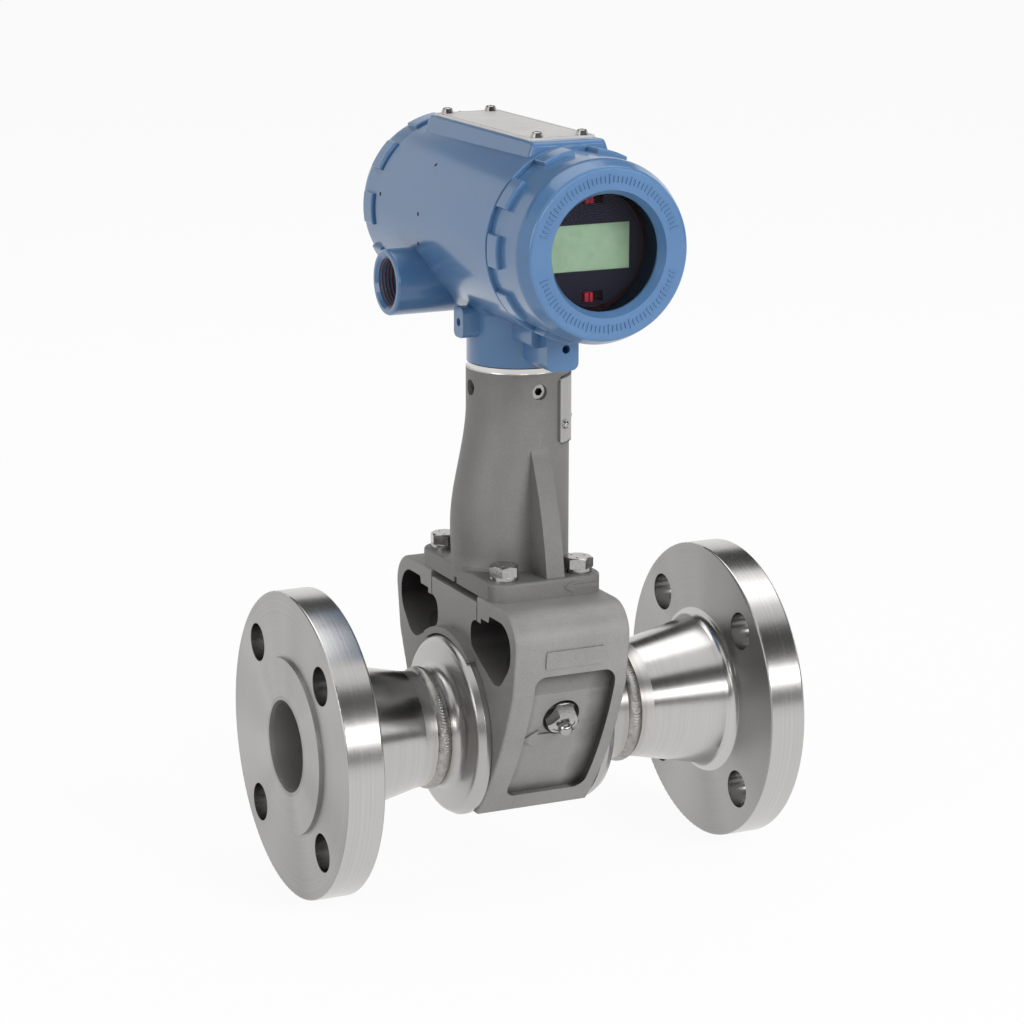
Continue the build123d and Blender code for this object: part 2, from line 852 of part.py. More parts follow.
def neck():
    """Support tube: base plate, leaning tube, two ribs, bright top band and stem bore."""
    plate = extrude(Plane.XY.offset(deck_z) * Pos(plate_centre_x, 0, 0)
                    * RectangleRounded(plate_length_x, plate_length_y, plate_corner), plate_thickness)
    rims = plate.faces().sort_by(Axis.Z)[-1].outer_wire().edges()
    plate = fillet(rims, cast_edge)
    heights = [plate_top - 2, neck_lean_low]
    rise = (neck_lean_high - neck_lean_low) / neck_loft_steps
    heights += [neck_lean_low + rise * (step + 1) for step in range(neck_loft_steps)]
    stem = loft([neck_section(z) for z in heights])
    stem += extrude(neck_section(neck_lean_high), neck_top - neck_lean_high)
    body = plate + stem + neck_foot() + neck_rib(-1) + neck_rib(1)
    body += Pos(0, 0, neck_top) * Cylinder(band_r, band_top - neck_top,
                                           align=(Align.CENTER, Align.CENTER, Align.MIN))
    bore = [
        (deck_z - 1, 0),
        (deck_z - 1, neck_bore_r),
        (stem_bottom, neck_bore_r),
        (stem_bottom, stem_r + stem_clearance),
        (band_top - ring_seat_depth, stem_r + stem_clearance),
        (band_top - ring_seat_depth, ring_seat_r),
        (band_top + 1, ring_seat_r),
        (band_top + 1, 0),
    ]
    body -= to_vertical * turned(bore)
    for x, y in deck_bolt_places():
        body -= Pos(x, y, deck_z) * Cylinder(plate_bolt_r + bolt_clearance, 4 * plate_thickness)
    for angle in set_screw_angles:
        hole = Pos(0, 0, set_screw_z) * disc(set_screw_r + thread_clearance, stem_r - 2, neck_r + 5)
        body -= hole.rotate(Axis.Z, angle)
    edge_x = plate_centre_x - plate_length_x / 2
    body -= block((edge_x - 1, edge_x + plate_notch), (-plate_notch / 2, plate_notch / 2),
                  (deck_z - 1, deck_z + plate_notch))
    outline = arrow(plate_arrow_x - plate_arrow_length / 2, plate_arrow_length, plate_arrow_head,
                    plate_arrow_width, plate_arrow_shaft)
    front = Plane(origin=(0, -plate_length_y / 2, deck_z + plate_thickness / 2), x_dir=(1, 0, 0),
                  z_dir=(0, -1, 0))
    return body + prism(front.offset(-mark_root), outline, plate_arrow_lift + mark_root)


def plate_bolts():
    """Four hexagon head bolts with chamfered heads."""
    bolt = extrude(RegularPolygon(plate_bolt_hex / 2, 6, major_radius=False), plate_bolt_head)
    bolt &= to_vertical * hex_hull(plate_bolt_hex, plate_bolt_head)
    bolt += to_vertical * disc(plate_bolt_r, -plate_bolt_length, 0)
    seat = plate_top + plate_washer_thickness
    return [Pos(x, y, seat) * Rotation(0, 0, bolt_turn * index) * bolt
            for index, (x, y) in enumerate(deck_bolt_places())]


def plate_washers():
    """Four split spring washers."""
    ring = to_vertical * tube(plate_washer_r, plate_bolt_r + bolt_clearance, plate_top,
                              plate_top + plate_washer_thickness)
    gap = block((0, plate_washer_r + 1), (-washer_gap / 2, washer_gap / 2),
                (plate_top - 1, plate_top + plate_washer_thickness + 1))
    washer = ring - gap
    return [Pos(x, y, 0) * Rotation(0, 0, washer_first_turn + washer_turn_step * index) * washer
            for index, (x, y) in enumerate(deck_bolt_places())]


def set_screws():
    """Socket set screws flush with the tube, their points in the stem groove."""
    outer = neck_r - set_screw_sunk
    point = outer - set_screw_length
    screw = turned([
        (point, 0),
        (point, set_screw_r - set_screw_point),
        (point + set_screw_point, set_screw_r),
        (outer, set_screw_r),
        (outer, 0),
    ])
    hexagon = RegularPolygon(set_screw_socket / 2, 6, major_radius=False)
    screw -= extrude(Plane.YZ.offset(outer - set_screw_socket_depth) * hexagon, set_screw_length)
    screw = Pos(0, 0, set_screw_z) * screw
    return [screw.rotate(Axis.Z, angle) for angle in set_screw_angles]


def stem_o_ring():
    """Ring in the band's groove, just below the housing's collar."""
    return Pos(0, 0, band_top - ring_seat_depth + stem_ring_minor) * Torus(stem_ring_major, stem_ring_minor)


def tag_plate():
    """Thin curved plate with round corners that hugs the tube towards +X."""
    inner = neck_r + tag_gap
    sheet = to_vertical * tube(inner + tag_thickness, inner, tag_low - 5, tag_high + 5)
    middle = tag_start + tag_span / 2
    chord = 2 * neck_r * math.sin(math.radians(tag_span / 2))
    window = extrude(Plane(origin=(0, 0, (tag_low + tag_high) / 2), x_dir=(1, 0, 0), z_dir=(0, -1, 0))
                     * RectangleRounded(chord, tag_high - tag_low, tag_corner), 2 * neck_r)
    return sheet & window.rotate(Axis.Z, middle)


def tag_rivets():
    """Two round head rivets, each at the same inset from the tag's ends."""
    surface = neck_r + tag_gap + tag_thickness
    rivets = []
    for angle in (tag_start + tag_rivet_inset, tag_start + tag_span - tag_rivet_inset):
        dome = Pos(surface, 0, tag_rivet_z) * split(Sphere(tag_rivet_r), Plane.YZ, keep=Keep.TOP)
        rivets.append(dome.rotate(Axis.Z, angle - 90))
    return rivets


# Electronics housing

def housing_barrel():
    """Slightly tapered barrel along Y with its seam edges broken."""
    points = [
        (-housing_rear, 0),
        (-housing_rear, housing_rear_r),
        (housing_front, housing_front_r),
        (housing_front, 0),
    ]
    rounds = [(-housing_rear, housing_rear_r, housing_edge), (housing_front, housing_front_r, housing_edge)]
    return to_front * turned(points, rounds)


def housing_chambers():
    """Front and rear chambers with the wider bores that take the covers."""
    cores = []
    ends = ((to_front, housing_front, -bulkhead_front), (to_rear, housing_rear, bulkhead_rear))
    for place, end, wall in ends:
        points = [
            (wall, 0),
            (wall, chamber_r),
            (end - cover_bore_depth - 2, chamber_r),
            (end - cover_bore_depth, cover_bore_r),
            (end + 1, cover_bore_r),
            (end + 1, 0),
        ]
        cores.append(place * turned(points))
    return cores


def conduit_boss(side):
    """Outside of one conduit boss, run to the middle of the housing."""
    boss = turned([(0, 0), (0, conduit_r), (conduit_reach, conduit_r), (conduit_reach, 0)],
                  [(conduit_reach, conduit_r, conduit_chamfer)])
    boss = Pos(0, conduit_y, conduit_z) * boss
    return boss if side > 0 else mirror(boss, Plane.YZ)


def conduit_hole(side):
    """Threaded conduit entry: a straight bore, then the way into the terminal chamber."""
    inner = conduit_reach - conduit_thread_length
    hole = turned([
        (0, 0),
        (0, conduit_thread_r - conduit_step),
        (inner, conduit_thread_r - conduit_step),
        (inner, conduit_thread_r),
        (conduit_reach - conduit_chamfer, conduit_thread_r),
        (conduit_reach + 1, conduit_thread_r + conduit_chamfer + 1),
        (conduit_reach + 1, 0),
    ])
    hole = Pos(0, conduit_y, conduit_z) * hole
    return hole if side > 0 else mirror(hole, Plane.YZ)


def nameplate_block():
    """Raised block along the top of the barrel, its sides sloping out."""
    low = housing_z + housing_rear_r - block_foot_half / 2
    points = [
        (-block_foot_half, low),
        (block_foot_half, low),
        (block_half, block_top),
        (-block_half, block_top),
    ]
    raised = prism(Plane(origin=(0, block_rear, 0), x_dir=(1, 0, 0), z_dir=(0, -1, 0)), points,
                   block_front + block_rear)
    edges = raised.faces().sort_by(Axis.Z)[-1].edges() + raised.edges().filter_by(
        lambda edge: edge.center().Z > low + 0.1 and edge.center().Z < block_top - 0.1)
    return fillet(edges, block_round)


def collar():
    """Round collar under the barrel, down to the support tube."""
    return Pos(0, 0, collar_bottom) * Cylinder(collar_r, housing_z - collar_bottom - chamber_r / 2,
                                               align=(Align.CENTER, Align.CENTER, Align.MIN))


def saddle():
    """Wider foot between the barrel and the collar that carries both conduit bosses."""
    points = [(-saddle_top_half, saddle_top_z), (-collar_r, saddle_low_z),
              (collar_r, saddle_low_z), (saddle_top_half, saddle_top_z)]
    rear = conduit_y + conduit_r
    return prism(Plane(origin=(0, rear, 0), x_dir=(1, 0, 0), z_dir=(0, -1, 0)), points, rear + saddle_front)


def lugs():
    """Lock lug below the front seam and earth lug on the -X side of the collar."""
    half = lock_lug_width / 2
    root = lug_root - collar_r
    lock = block((-half, half), (-lock_lug_front, root), (lock_lug_bottom, lock_lug_top))
    lock = fillet(lock.edges().filter_by(Axis.Y), lock_lug_round)
    web = block((-half - lock_web_side, 0), (lock_web_set_back - lock_lug_front, root),
                (lock_lug_bottom + lock_web_rise, lock_lug_top + lock_web_round))
    web = fillet(web.edges().filter_by(Axis.Y), lock_web_round)
    across = earth_lug_width / 2
    earth = block((-earth_lug_reach, root), (earth_lug_y - across, earth_lug_y + across),
                  (earth_lug_bottom, earth_lug_top))
    earth = fillet(earth.edges().filter_by(Axis.X), earth_lug_round)
    return lock + web + earth


def housing():
    """Two-chamber housing casting with stem, collar, bosses and lugs."""
    body = housing_barrel() + collar() + saddle()
    body += conduit_boss(-1) + conduit_boss(1)
    body += nameplate_block() + lugs()
    body += to_vertical * turned([
        (stem_bottom, 0),
        (stem_bottom, stem_r),
        (set_screw_z - stem_groove_width / 2, stem_r),
        (set_screw_z - stem_groove_width / 2, stem_groove_r),
        (set_screw_z + stem_groove_width / 2, stem_groove_r),
        (set_screw_z + stem_groove_width / 2, stem_r),
        (collar_bottom + 1, stem_r),
        (collar_bottom + 1, 0),
    ], [(stem_bottom, stem_r, 0.8)])
    for core in housing_chambers():
        body -= core
    for side in (-1, 1):
        body -= conduit_hole(side)
    passage = housing_z - chamber_r - stem_bottom
    body -= Pos(0, 0, stem_bottom - 1) * Cylinder(stem_passage_r, passage + stem_passage_spare,
                                                  align=(Align.CENTER, Align.CENTER, Align.MIN))
    drill = Cylinder(lock_hole_r, 2 * lug_hole_depth)
    lock_z = (lock_lug_bottom + lock_lug_top) / 2
    body -= Pos(lock_hole_x, -lock_lug_front, lock_z) * Rotation(90, 0, 0) * drill
    earth_z = (earth_lug_bottom + earth_lug_top) / 2
    body -= Pos(-earth_lug_reach, earth_lug_y, earth_z) * Rotation(0, 90, 0) * drill
    tapped = Cylinder(nameplate_screw_shank + thread_clearance, 2 * nameplate_screw_length)
    for x, y in nameplate_screw_places():
        body -= Pos(x, y, block_top) * tapped
    earth_hole = disc(earth_screw_shank + thread_clearance, -earth_screw_length - screw_hole_spare, 1)
    return body - to_rear * earth_screw_seat() * earth_hole


def nameplate_screw_places():
    """The four corners where the nameplate is screwed down."""
    return [(sx * nameplate_screw_x, nameplate_y + sy * nameplate_screw_y)
            for sx in (-1, 1) for sy in (-1, 1)]


def nameplate():
    """Thin plate on the raised block."""
    outline = RectangleRounded(nameplate_width, nameplate_length, nameplate_corner)
    plate = extrude(Pos(0, nameplate_y, block_top) * outline, nameplate_thickness)
    drill = Cylinder(nameplate_screw_shank + thread_clearance, 4 * nameplate_thickness)
    for x, y in nameplate_screw_places():
        plate -= Pos(x, y, block_top) * drill
    return plate


def pan_screw(radius, head, shank_r, shank_length):
    """Pan head screw along +X with its seat at X = 0 and a cross recess in the head."""
    top_r = radius * 0.7
    screw = turned([(-shank_length, 0), (-shank_length, shank_r), (0, shank_r), (0, radius), (head, top_r),
                    (head, 0)], [(head, top_r, head * 0.35)])
    for turn in (0, 90):
        slot = Pos(head, 0, 0) * Box(head * 0.9, radius * 1.1, radius * 0.28)
        screw -= slot.rotate(Axis.X, turn)
    return screw


def nameplate_screws():
    """Four pan head screws in the nameplate."""
    top = block_top + nameplate_thickness
    screw = pan_screw(nameplate_screw_r, nameplate_screw_head, nameplate_screw_shank, nameplate_screw_length)
    return [Pos(x, y, top) * Rotation(0, 0, nameplate_screw_turn * index) * (to_vertical * screw)
            for index, (x, y) in enumerate(nameplate_screw_places())]


# Screwed covers, made along X from the housing seam at X = 0 outwards

def cover_lugs():
    """Ten grip lugs round the cover's flange, with rounded tops."""
    half = math.radians(cover_lug_span / 2)
    low_r = cover_flange_r - 1
    across = low_r * math.sin(half)
    top = cover_lug_r * math.sin(half) - cover_lug_draft
    high_r = cover_lug_r + 1
    outline = [(-across, low_r), (across, low_r), (top, high_r), (-top, high_r)]
    wedge = prism(Plane.YZ.offset(cover_lug_start), outline, cover_lug_length)
    lug = wedge & disc(cover_lug_r, 0, cover_lug_length * 2)
    outer = [edge for edge in lug.edges() if math.hypot(edge.center().Y, edge.center().Z) > cover_lug_r - 0.3]
    lug = fillet(outer, cover_lug_round)
    return around(lug, cover_lug_count, 180 / cover_lug_count)


def cover_outside(length):
    """Flange, body and spigot of a cover, solid."""
    groove_floor = cover_bore_r - 2 * cover_ring_clearance - 2 * cover_ring_minor
    points = [
        (-cover_spigot, 0),
        (-cover_spigot, cover_bore_r - cover_clearance),
        (-cover_ring_groove, cover_bore_r - cover_clearance),
        (-cover_ring_groove, groove_floor),
        (cover_seat_gap, groove_floor),
        (cover_seat_gap, cover_flange_r),
        (length - cover_shoulder, cover_flange_r),
        (length, cover_face_r),
        (length, 0),
    ]
    rounds = [
        (length, cover_face_r, cover_face_round),
        (length - cover_shoulder, cover_flange_r, cover_shoulder),
    ]
    solid = turned(points, rounds)
    for lug in cover_lugs():
        solid += lug
    return solid


def front_cover():
    """Cover with a deep bevelled window opening and a stepped seat for the glass."""
    solid = cover_outside(cover_length)
    window_back = cover_length - window_depth
    glass_back = window_back - glass_seat
    solid -= turned([
        (-cover_spigot - 1, 0),
        (-cover_spigot - 1, cover_spigot_bore),
        (glass_back, cover_spigot_bore),
        (glass_back, glass_r + cover_clearance),
        (window_back, glass_r + cover_clearance),
        (window_back, 0),
    ])
    lip_points = [
        (window_back - 1, 0),
        (window_back - 1, window_r),
        (window_back + window_land, window_r),
        (cover_length, cover_lip_r),
        (cover_length + 1, cover_lip_r),
        (cover_length + 1, 0),
    ]
    return solid - turned(lip_points, [(cover_length, cover_lip_r, window_lip_round)])


def front_glass():
    """Thick round window pressed against the cover's inner step."""
    window_back = cover_length - window_depth
    return disc(glass_r, window_back - glass_thickness, window_back)


def glass_retainer():
    """Snap ring that holds the glass in the cover."""
    back = cover_length - window_depth - glass_thickness
    return tube(glass_r, retainer_inner_r, back - retainer_height, back)


def rear_cover():
    """Plain screwed cap with a domed end wall."""
    solid = cover_outside(rear_cover_length)
    floor = rear_cover_length - rear_cover_wall
    return solid - turned([
        (-cover_spigot - 1, 0),
        (-cover_spigot - 1, cover_spigot_bore),
        (floor, cover_spigot_bore),
        (floor, 0),
    ], [(floor, cover_spigot_bore, rear_cover_inner_round)])


def cover_o_ring():
    """Ring in the groove at the spigot's root, just clear of the bore."""
    major = cover_bore_r - cover_ring_clearance - cover_ring_minor
    middle = (cover_seat_gap - cover_ring_groove) / 2
    return Pos(middle, 0, 0) * Rotation(0, 90, 0) * Torus(major, cover_ring_minor)


# Electronics stack, made along X with X = 0 at the barrel's middle and +X to the front

def electronics_module():
    """Potted puck that fills the front chamber, with a socket for the sensor lead."""
    back = -bulkhead_front
    puck = turned([(back, 0), (back, module_r), (module_front, module_r), (module_front, 0)],
                  [(module_front, module_r, module_edge), (back, module_r, module_edge)])
    for notch in around(Pos(0, module_r, 0) * disc(module_notch_r, back - 1, module_front + 1), 2, 90):
        puck -= notch
    tapped = disc(module_screw_shank + thread_clearance, -module_screw_length - screw_hole_spare, 1)
    for place in module_screw_places():
        puck -= place * tapped
    placed = to_front * puck
    socket_low = cable_top + connector_length + socket_gap
    socket = Pos(0, 0, socket_low) * Cylinder(connector_r, socket_top - socket_low,
                                              align=(Align.CENTER, Align.CENTER, Align.MIN))
    return placed + socket


def module_screw_places():
    """Seats of the two module screws on the puck's front face."""
    return [Pos(module_front, side * (module_r - module_screw_inset), 0) for side in (-1, 1)]


def module_screws():
    """Two cross head screws that hold the module, at its left and right edges."""
    screw = pan_screw(module_screw_r, module_screw_head, module_screw_shank, module_screw_length)
    return [to_front * place * screw for place in module_screw_places()]


def standoffs():
    """Round pillars that carry the display board."""
    board_back = display_plane - bezel_depth - board_thickness
    pillar = Pos(0, standoff_circle_r, 0) * disc(standoff_r, module_front, board_back)
    return [to_front * piece for piece in around(pillar, standoff_count, standoff_turn)]


def display_board():
    """Round circuit board behind the bezel."""
    front = display_plane - bezel_depth
    return to_front * disc(board_r, front - board_thickness, front)


def bezel_window(width, height, z, x=0.0):
    """Upright opening through the bezel, centred at a place on its face."""
    return block((0, display_plane + 5), (x - width / 2, x + width / 2), (z - height / 2, z + height / 2))


def display_bezel():
    """Moulded dark disc with a skirt, a window for the display and two switch slots."""
    back = display_plane - bezel_depth
    shell = turned([(back, 0), (back, bezel_r), (display_plane, bezel_r), (display_plane, 0)],
                   [(display_plane, bezel_r, bezel_edge)])
    shell -= disc(bezel_r - bezel_wall, back - 1, display_plane - bezel_wall)
    shell -= bezel_window(lcd_width, lcd_height, 0)
    for side in (-1, 1):
        shell -= bezel_window(switch_slot_width, switch_slot_height, side * switch_z, switch_slot_x)
    return to_front * shell


def display_lcd():
    """Display glass set just behind the bezel's face, standing on the board."""
    front = display_plane - bezel_wall
    back = display_plane - bezel_depth
    wide = lcd_width / 2 + lcd_frame
    high = lcd_height / 2 + lcd_frame
    glass = block((back, front), (-wide, wide), (-high, high))
    raised = lcd_width / 2 - lcd_gap
    tall = lcd_height / 2 - lcd_gap
    glass += block((back, display_plane - lcd_set_back), (-raised, raised), (-tall, tall))
    return to_front * glass


def slide_switch(z):
    """Small knob in its slot, with a foot under the bezel's face."""
    back = display_plane - bezel_depth + switch_gap
    under = display_plane - bezel_wall - switch_gap
    top = display_plane + switch_proud
    offset_to_end = (switch_slot_width - switch_knob - switch_travel) / 2
    start = switch_slot_x - switch_slot_width / 2 + offset_to_end
    middle = start + switch_knob / 2
    stem = block((back, top), (middle - switch_knob / 2, middle + switch_knob / 2),
                 (z - switch_knob / 2, z + switch_knob / 2))
    half_foot = switch_knob / 2 + switch_foot
    foot = block((back, under), (middle - half_foot, middle + half_foot),
                 (z - switch_knob / 2, z + switch_knob / 2))
    half_groove = switch_groove / 2
    groove = block((top - switch_groove, top + 1), (middle - half_groove, middle + half_groove),
                   (z - switch_knob, z + switch_knob))
    return to_front * (stem + foot - groove)


# Terminal block, made along X with +X to the rear

def terminal_places():
    """Sideways places of the terminal screws."""
    first = -(terminal_count - 1) / 2 * terminal_pitch
    return [first + terminal_pitch * index for index in range(terminal_count)]


def terminal_block():
    """Stepped moulding with barrier walls between its terminals."""
    front = bulkhead_rear
    back = front + block_depth
    body = disc(terminal_block_r, front, back)
    body &= block((front - 1, back + 1), (-terminal_block_r, terminal_block_r),
                  (terminal_block_low, terminal_block_r))
    half = (terminal_pitch - terminal_wall) / 2
    for y in terminal_places():
        body -= block((back - terminal_step, back + 1), (y - half, y + half),
                      (terminal_block_low - 1, terminal_bay_top))
    tapped = disc(terminal_screw_shank + thread_clearance, -terminal_screw_length - screw_hole_spare, 1)
    for seat in terminal_seats():
        body -= seat * tapped
    return to_rear * body


def terminal_seats():
    """Seats of the terminal screws on the floors of their bays."""
    floor = bulkhead_rear + block_depth - terminal_step
    return [Pos(floor, y, terminal_screw_z) for y in terminal_places()]


def terminal_screws():
    """One pan head screw in each terminal bay."""
    screw = pan_screw(terminal_screw_r, terminal_screw_head, terminal_screw_shank, terminal_screw_length)
    return [to_rear * seat * screw for seat in terminal_seats()]


def earth_screw_seat():
    """Seat of the earth screw on the rear of the bulkhead."""
    return Pos(bulkhead_rear, 0, earth_screw_z)


def earth_screw():
    """Earth screw on the bulkhead below the terminal block."""
    screw = pan_screw(earth_screw_r, earth_screw_head, earth_screw_shank, earth_screw_length)
    return to_rear * earth_screw_seat() * screw


# All nodes

def all_nodes():
    """Every node by name, in the frame the pieces are made in."""
    inlet = Pos(half_length, 0, 0) * flange()
    bead = weld()
    upper, lower = casting_halves()
    front_place = Pos(0, -housing_front, housing_z) * Rotation(0, 0, -90)
    rear_place = Pos(0, housing_rear, housing_z) * Rotation(0, 0, 90)
    return {
        "meter_body": upper,
        "meter_belly": lower,
        "inlet_body_end": turned_end(body_right, 1),
        "outlet_body_end": turned_end(body_left, -1),
        "inlet_flange": inlet,
        "outlet_flange": mirror(inlet, Plane.YZ),
        "inlet_weld": Pos(weld_x, 0, 0) * bead,
        "outlet_weld": Pos(-weld_x, 0, 0) * bead,
        "vortex_sensor": vortex_sensor(),
        "sensor_seal": sensor_seal(),
        "sensor_nut": sensor_nut(),
        "sensor_cable": sensor_cable(),
        "cavity_stub": cavity_stub(),
        "cavity_washers": cavity_washers(),
        "cavity_nut": cavity_nut(),
        "neck": neck(),
        "plate_bolts": plate_bolts(),
        "plate_spring_washers": plate_washers(),
        "set_screws": set_screws(),
        "stem_o_ring": stem_o_ring(),
        "tag_plate": tag_plate(),
        "tag_rivets": tag_rivets(),
        "housing": housing(),
        "nameplate": nameplate(),
        "nameplate_screws": nameplate_screws(),
        "front_cover": front_place * front_cover(),
        "front_glass": front_place * front_glass(),
        "glass_retainer": front_place * glass_retainer(),
        "front_cover_o_ring": front_place * cover_o_ring(),
        "rear_cover": rear_place * rear_cover(),
        "rear_cover_o_ring": rear_place * cover_o_ring(),
        "electronics_module": electronics_module(),
        "module_screws": module_screws(),
        "display_standoffs": standoffs(),
        "display_board": display_board(),
        "display_bezel": display_bezel(),
        "display_lcd": display_lcd(),
        "alarm_switch": slide_switch(switch_z),
        "security_switch": slide_switch(-switch_z),
        "terminal_block": terminal_block(),
        "terminal_screws": terminal_screws(),
        "earth_screw": earth_screw(),
    }


def main():
    os.makedirs("parts", exist_ok=True)
    for name, piece in all_nodes().items():
        solids = []
        for item in (piece if isinstance(piece, list) else [piece]):
            solids += [shift_to_inlet * solid for solid in item.solids()]
        whole = solids[0] if len(solids) == 1 else Compound(children=solids)
        export_step(whole, f"parts/{name}.step")


main()
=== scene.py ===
# %% [markdown]
# Dressing a vortex flow meter.
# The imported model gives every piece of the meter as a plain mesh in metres. This lesson adds what the eye
# expects: blasted castings, turned flanges, weld ripples, glossy blue enamel, threads and a lit studio.
# The model is loaded first, because every later step asks it where the pieces are.

# %% Load the meter
import json
import math
import bmesh
import bpy
from mathutils import Matrix, Vector


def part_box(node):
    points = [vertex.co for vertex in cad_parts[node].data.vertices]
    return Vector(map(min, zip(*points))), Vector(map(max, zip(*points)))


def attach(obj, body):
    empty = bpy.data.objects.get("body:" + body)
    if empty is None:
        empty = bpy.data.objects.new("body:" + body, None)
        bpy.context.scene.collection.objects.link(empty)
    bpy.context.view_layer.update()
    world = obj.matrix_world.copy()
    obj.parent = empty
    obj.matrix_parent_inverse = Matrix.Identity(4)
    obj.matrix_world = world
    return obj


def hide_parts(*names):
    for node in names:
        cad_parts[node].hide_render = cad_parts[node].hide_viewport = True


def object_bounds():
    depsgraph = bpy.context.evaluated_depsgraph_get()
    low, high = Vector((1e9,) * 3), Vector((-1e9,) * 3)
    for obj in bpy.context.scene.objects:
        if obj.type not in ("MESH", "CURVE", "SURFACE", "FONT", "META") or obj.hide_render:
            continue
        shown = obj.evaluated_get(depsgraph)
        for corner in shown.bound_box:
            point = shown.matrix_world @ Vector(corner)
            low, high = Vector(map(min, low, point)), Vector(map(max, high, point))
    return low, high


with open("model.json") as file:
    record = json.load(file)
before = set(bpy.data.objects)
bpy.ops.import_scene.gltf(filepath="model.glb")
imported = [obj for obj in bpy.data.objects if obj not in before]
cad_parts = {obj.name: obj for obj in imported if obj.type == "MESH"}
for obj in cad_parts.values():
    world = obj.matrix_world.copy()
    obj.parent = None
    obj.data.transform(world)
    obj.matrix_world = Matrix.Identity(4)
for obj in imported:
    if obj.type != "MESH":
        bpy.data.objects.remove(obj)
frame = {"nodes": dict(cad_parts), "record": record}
cad_low, cad_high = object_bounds()
print("nodes", len(frame["nodes"]), "size", [round(v, 4) for v in cad_high - cad_low])

# %% [markdown]
# A few places are used again and again. The pipe axis is the X axis, and the tube, the housing's collar and
# the electronics all stand on one upright line half way between the flange faces. Sizes are in metres.

# %% Places on the meter
mid_x = (cad_low.x + cad_high.x) / 2
weld_half = 0.04365
barrel_z = 0.2075
cover_front_y = -0.0515
cover_rear_y = 0.0613
conduit_y, conduit_z = 0.026, 0.183
floor_z = -0.0635
print("the tube stands at x =", round(mid_x, 5))

# %% [markdown]
# Node trees are easier to read as sums than as boxes. A Wire is one output of a node. Adding, multiplying
# or comparing two wires writes the Math node that does it, so a pattern can be written as a line of Python.
# The same class serves shaders and Geometry Nodes, since both know the Math node.

# %% Arithmetic on wires
class Wire:
    """One output socket that takes part in arithmetic."""

    def __init__(self, writer, socket):
        self.writer, self.socket = writer, socket

    def do(self, operation, *others):
        sockets = dict(enumerate((self, *others)))
        return self.writer.add("ShaderNodeMath", {"operation": operation}, sockets)

    def flipped(self, operation, other):
        return self.writer.add("ShaderNodeMath", {"operation": operation}, {0: other, 1: self})

    def __add__(self, other):
        return self.do("ADD", other)

    def __radd__(self, other):
        return self.do("ADD", other)

    def __sub__(self, other):
        return self.do("SUBTRACT", other)

    def __rsub__(self, other):
        return self.flipped("SUBTRACT", other)

    def __mul__(self, other):
        return self.do("MULTIPLY", other)

    def __rmul__(self, other):
        return self.do("MULTIPLY", other)

    def __truediv__(self, other):
        return self.do("DIVIDE", other)

    def __rtruediv__(self, other):
        return self.flipped("DIVIDE", other)

    def __pow__(self, other):
        return self.do("POWER", other)

    def __rpow__(self, other):
        return self.flipped("POWER", other)

    def __neg__(self):
        return self.do("MULTIPLY", -1.0)

    def __abs__(self):
        return self.do("ABSOLUTE")

    def __gt__(self, other):
        return self.do("GREATER_THAN", other)

    def __lt__(self, other):
        return self.do("LESS_THAN", other)


print("Wire is ready")

# %% [markdown]
# Every other node comes from one method. It takes the node's type, its settings, and the values or wires of
# its sockets. The few nodes that nearly every tree needs have a short method of their own.

# %% Writing nodes
def with_alpha(value):
    """A colour of three numbers gets its alpha, and anything else stays as it is."""
    return (*value, 1.0) if isinstance(value, tuple) and len(value) == 3 else value


def set_stops(ramp, stops):
    """Gives a colour ramp its stops, as (position, colour) pairs."""
    while len(ramp.elements) < len(stops):
        ramp.elements.new(1.0)
    for element, (position, colour) in zip(ramp.elements, stops):
        element.position = position
        element.color = with_alpha(colour)


class Writer:
    """Adds nodes to one tree."""

    def __init__(self, tree):
        self.tree = tree

    def add(self, kind, settings=None, sockets=None, out=0):
        node = self.tree.nodes.new(kind)
        for name, value in (settings or {}).items():
            if name == "stops":
                set_stops(node.color_ramp, value)
            else:
                setattr(node, name, value)
        for key, value in (sockets or {}).items():
            if isinstance(value, Wire):
                self.tree.links.new(value.socket, node.inputs[key])
            else:
                node.inputs[key].default_value = value
        return Wire(self, node.outputs[out])

    def split(self, vector):
        """The X, Y and Z of a vector."""
        first = self.add("ShaderNodeSeparateXYZ", None, {0: vector})
        return [Wire(self, socket) for socket in first.socket.node.outputs]

    def vector(self, x, y, z):
        return self.add("ShaderNodeCombineXYZ", None, {0: x, 1: y, 2: z})

    def spread(self, value, low, high, new_low, new_high):
        """Maps a wire's range from low..high to another, held at both ends."""
        sockets = {0: value, 1: low, 2: high, 3: new_low, 4: new_high}
        return self.add("ShaderNodeMapRange", {"clamp": True}, sockets)

    def close(self, kind, last):
        """Ends the tree with an output node."""
        output = self.tree.nodes.new(kind)
        self.tree.links.new(last.socket, output.inputs[0])
        return output


print("Writer is ready")

# %% [markdown]
# Every finish of the meter starts from the Principled shader and reads Object coordinates. The pieces sit
# at the origin with their place in their mesh, so those coordinates are metres in the meter's own frame,
# and a pattern can be aimed at the pipe axis or the barrel axis. A noise seldom leaves the range from 0.3
# to 0.7, so tones and gloss are spread over that range.

# %% A finish, built on the Principled shader
noise_low, noise_high = 0.3, 0.7
smoother, rougher = 0.05, 0.08
mix_first, mix_second, mix_result = 6, 7, 2


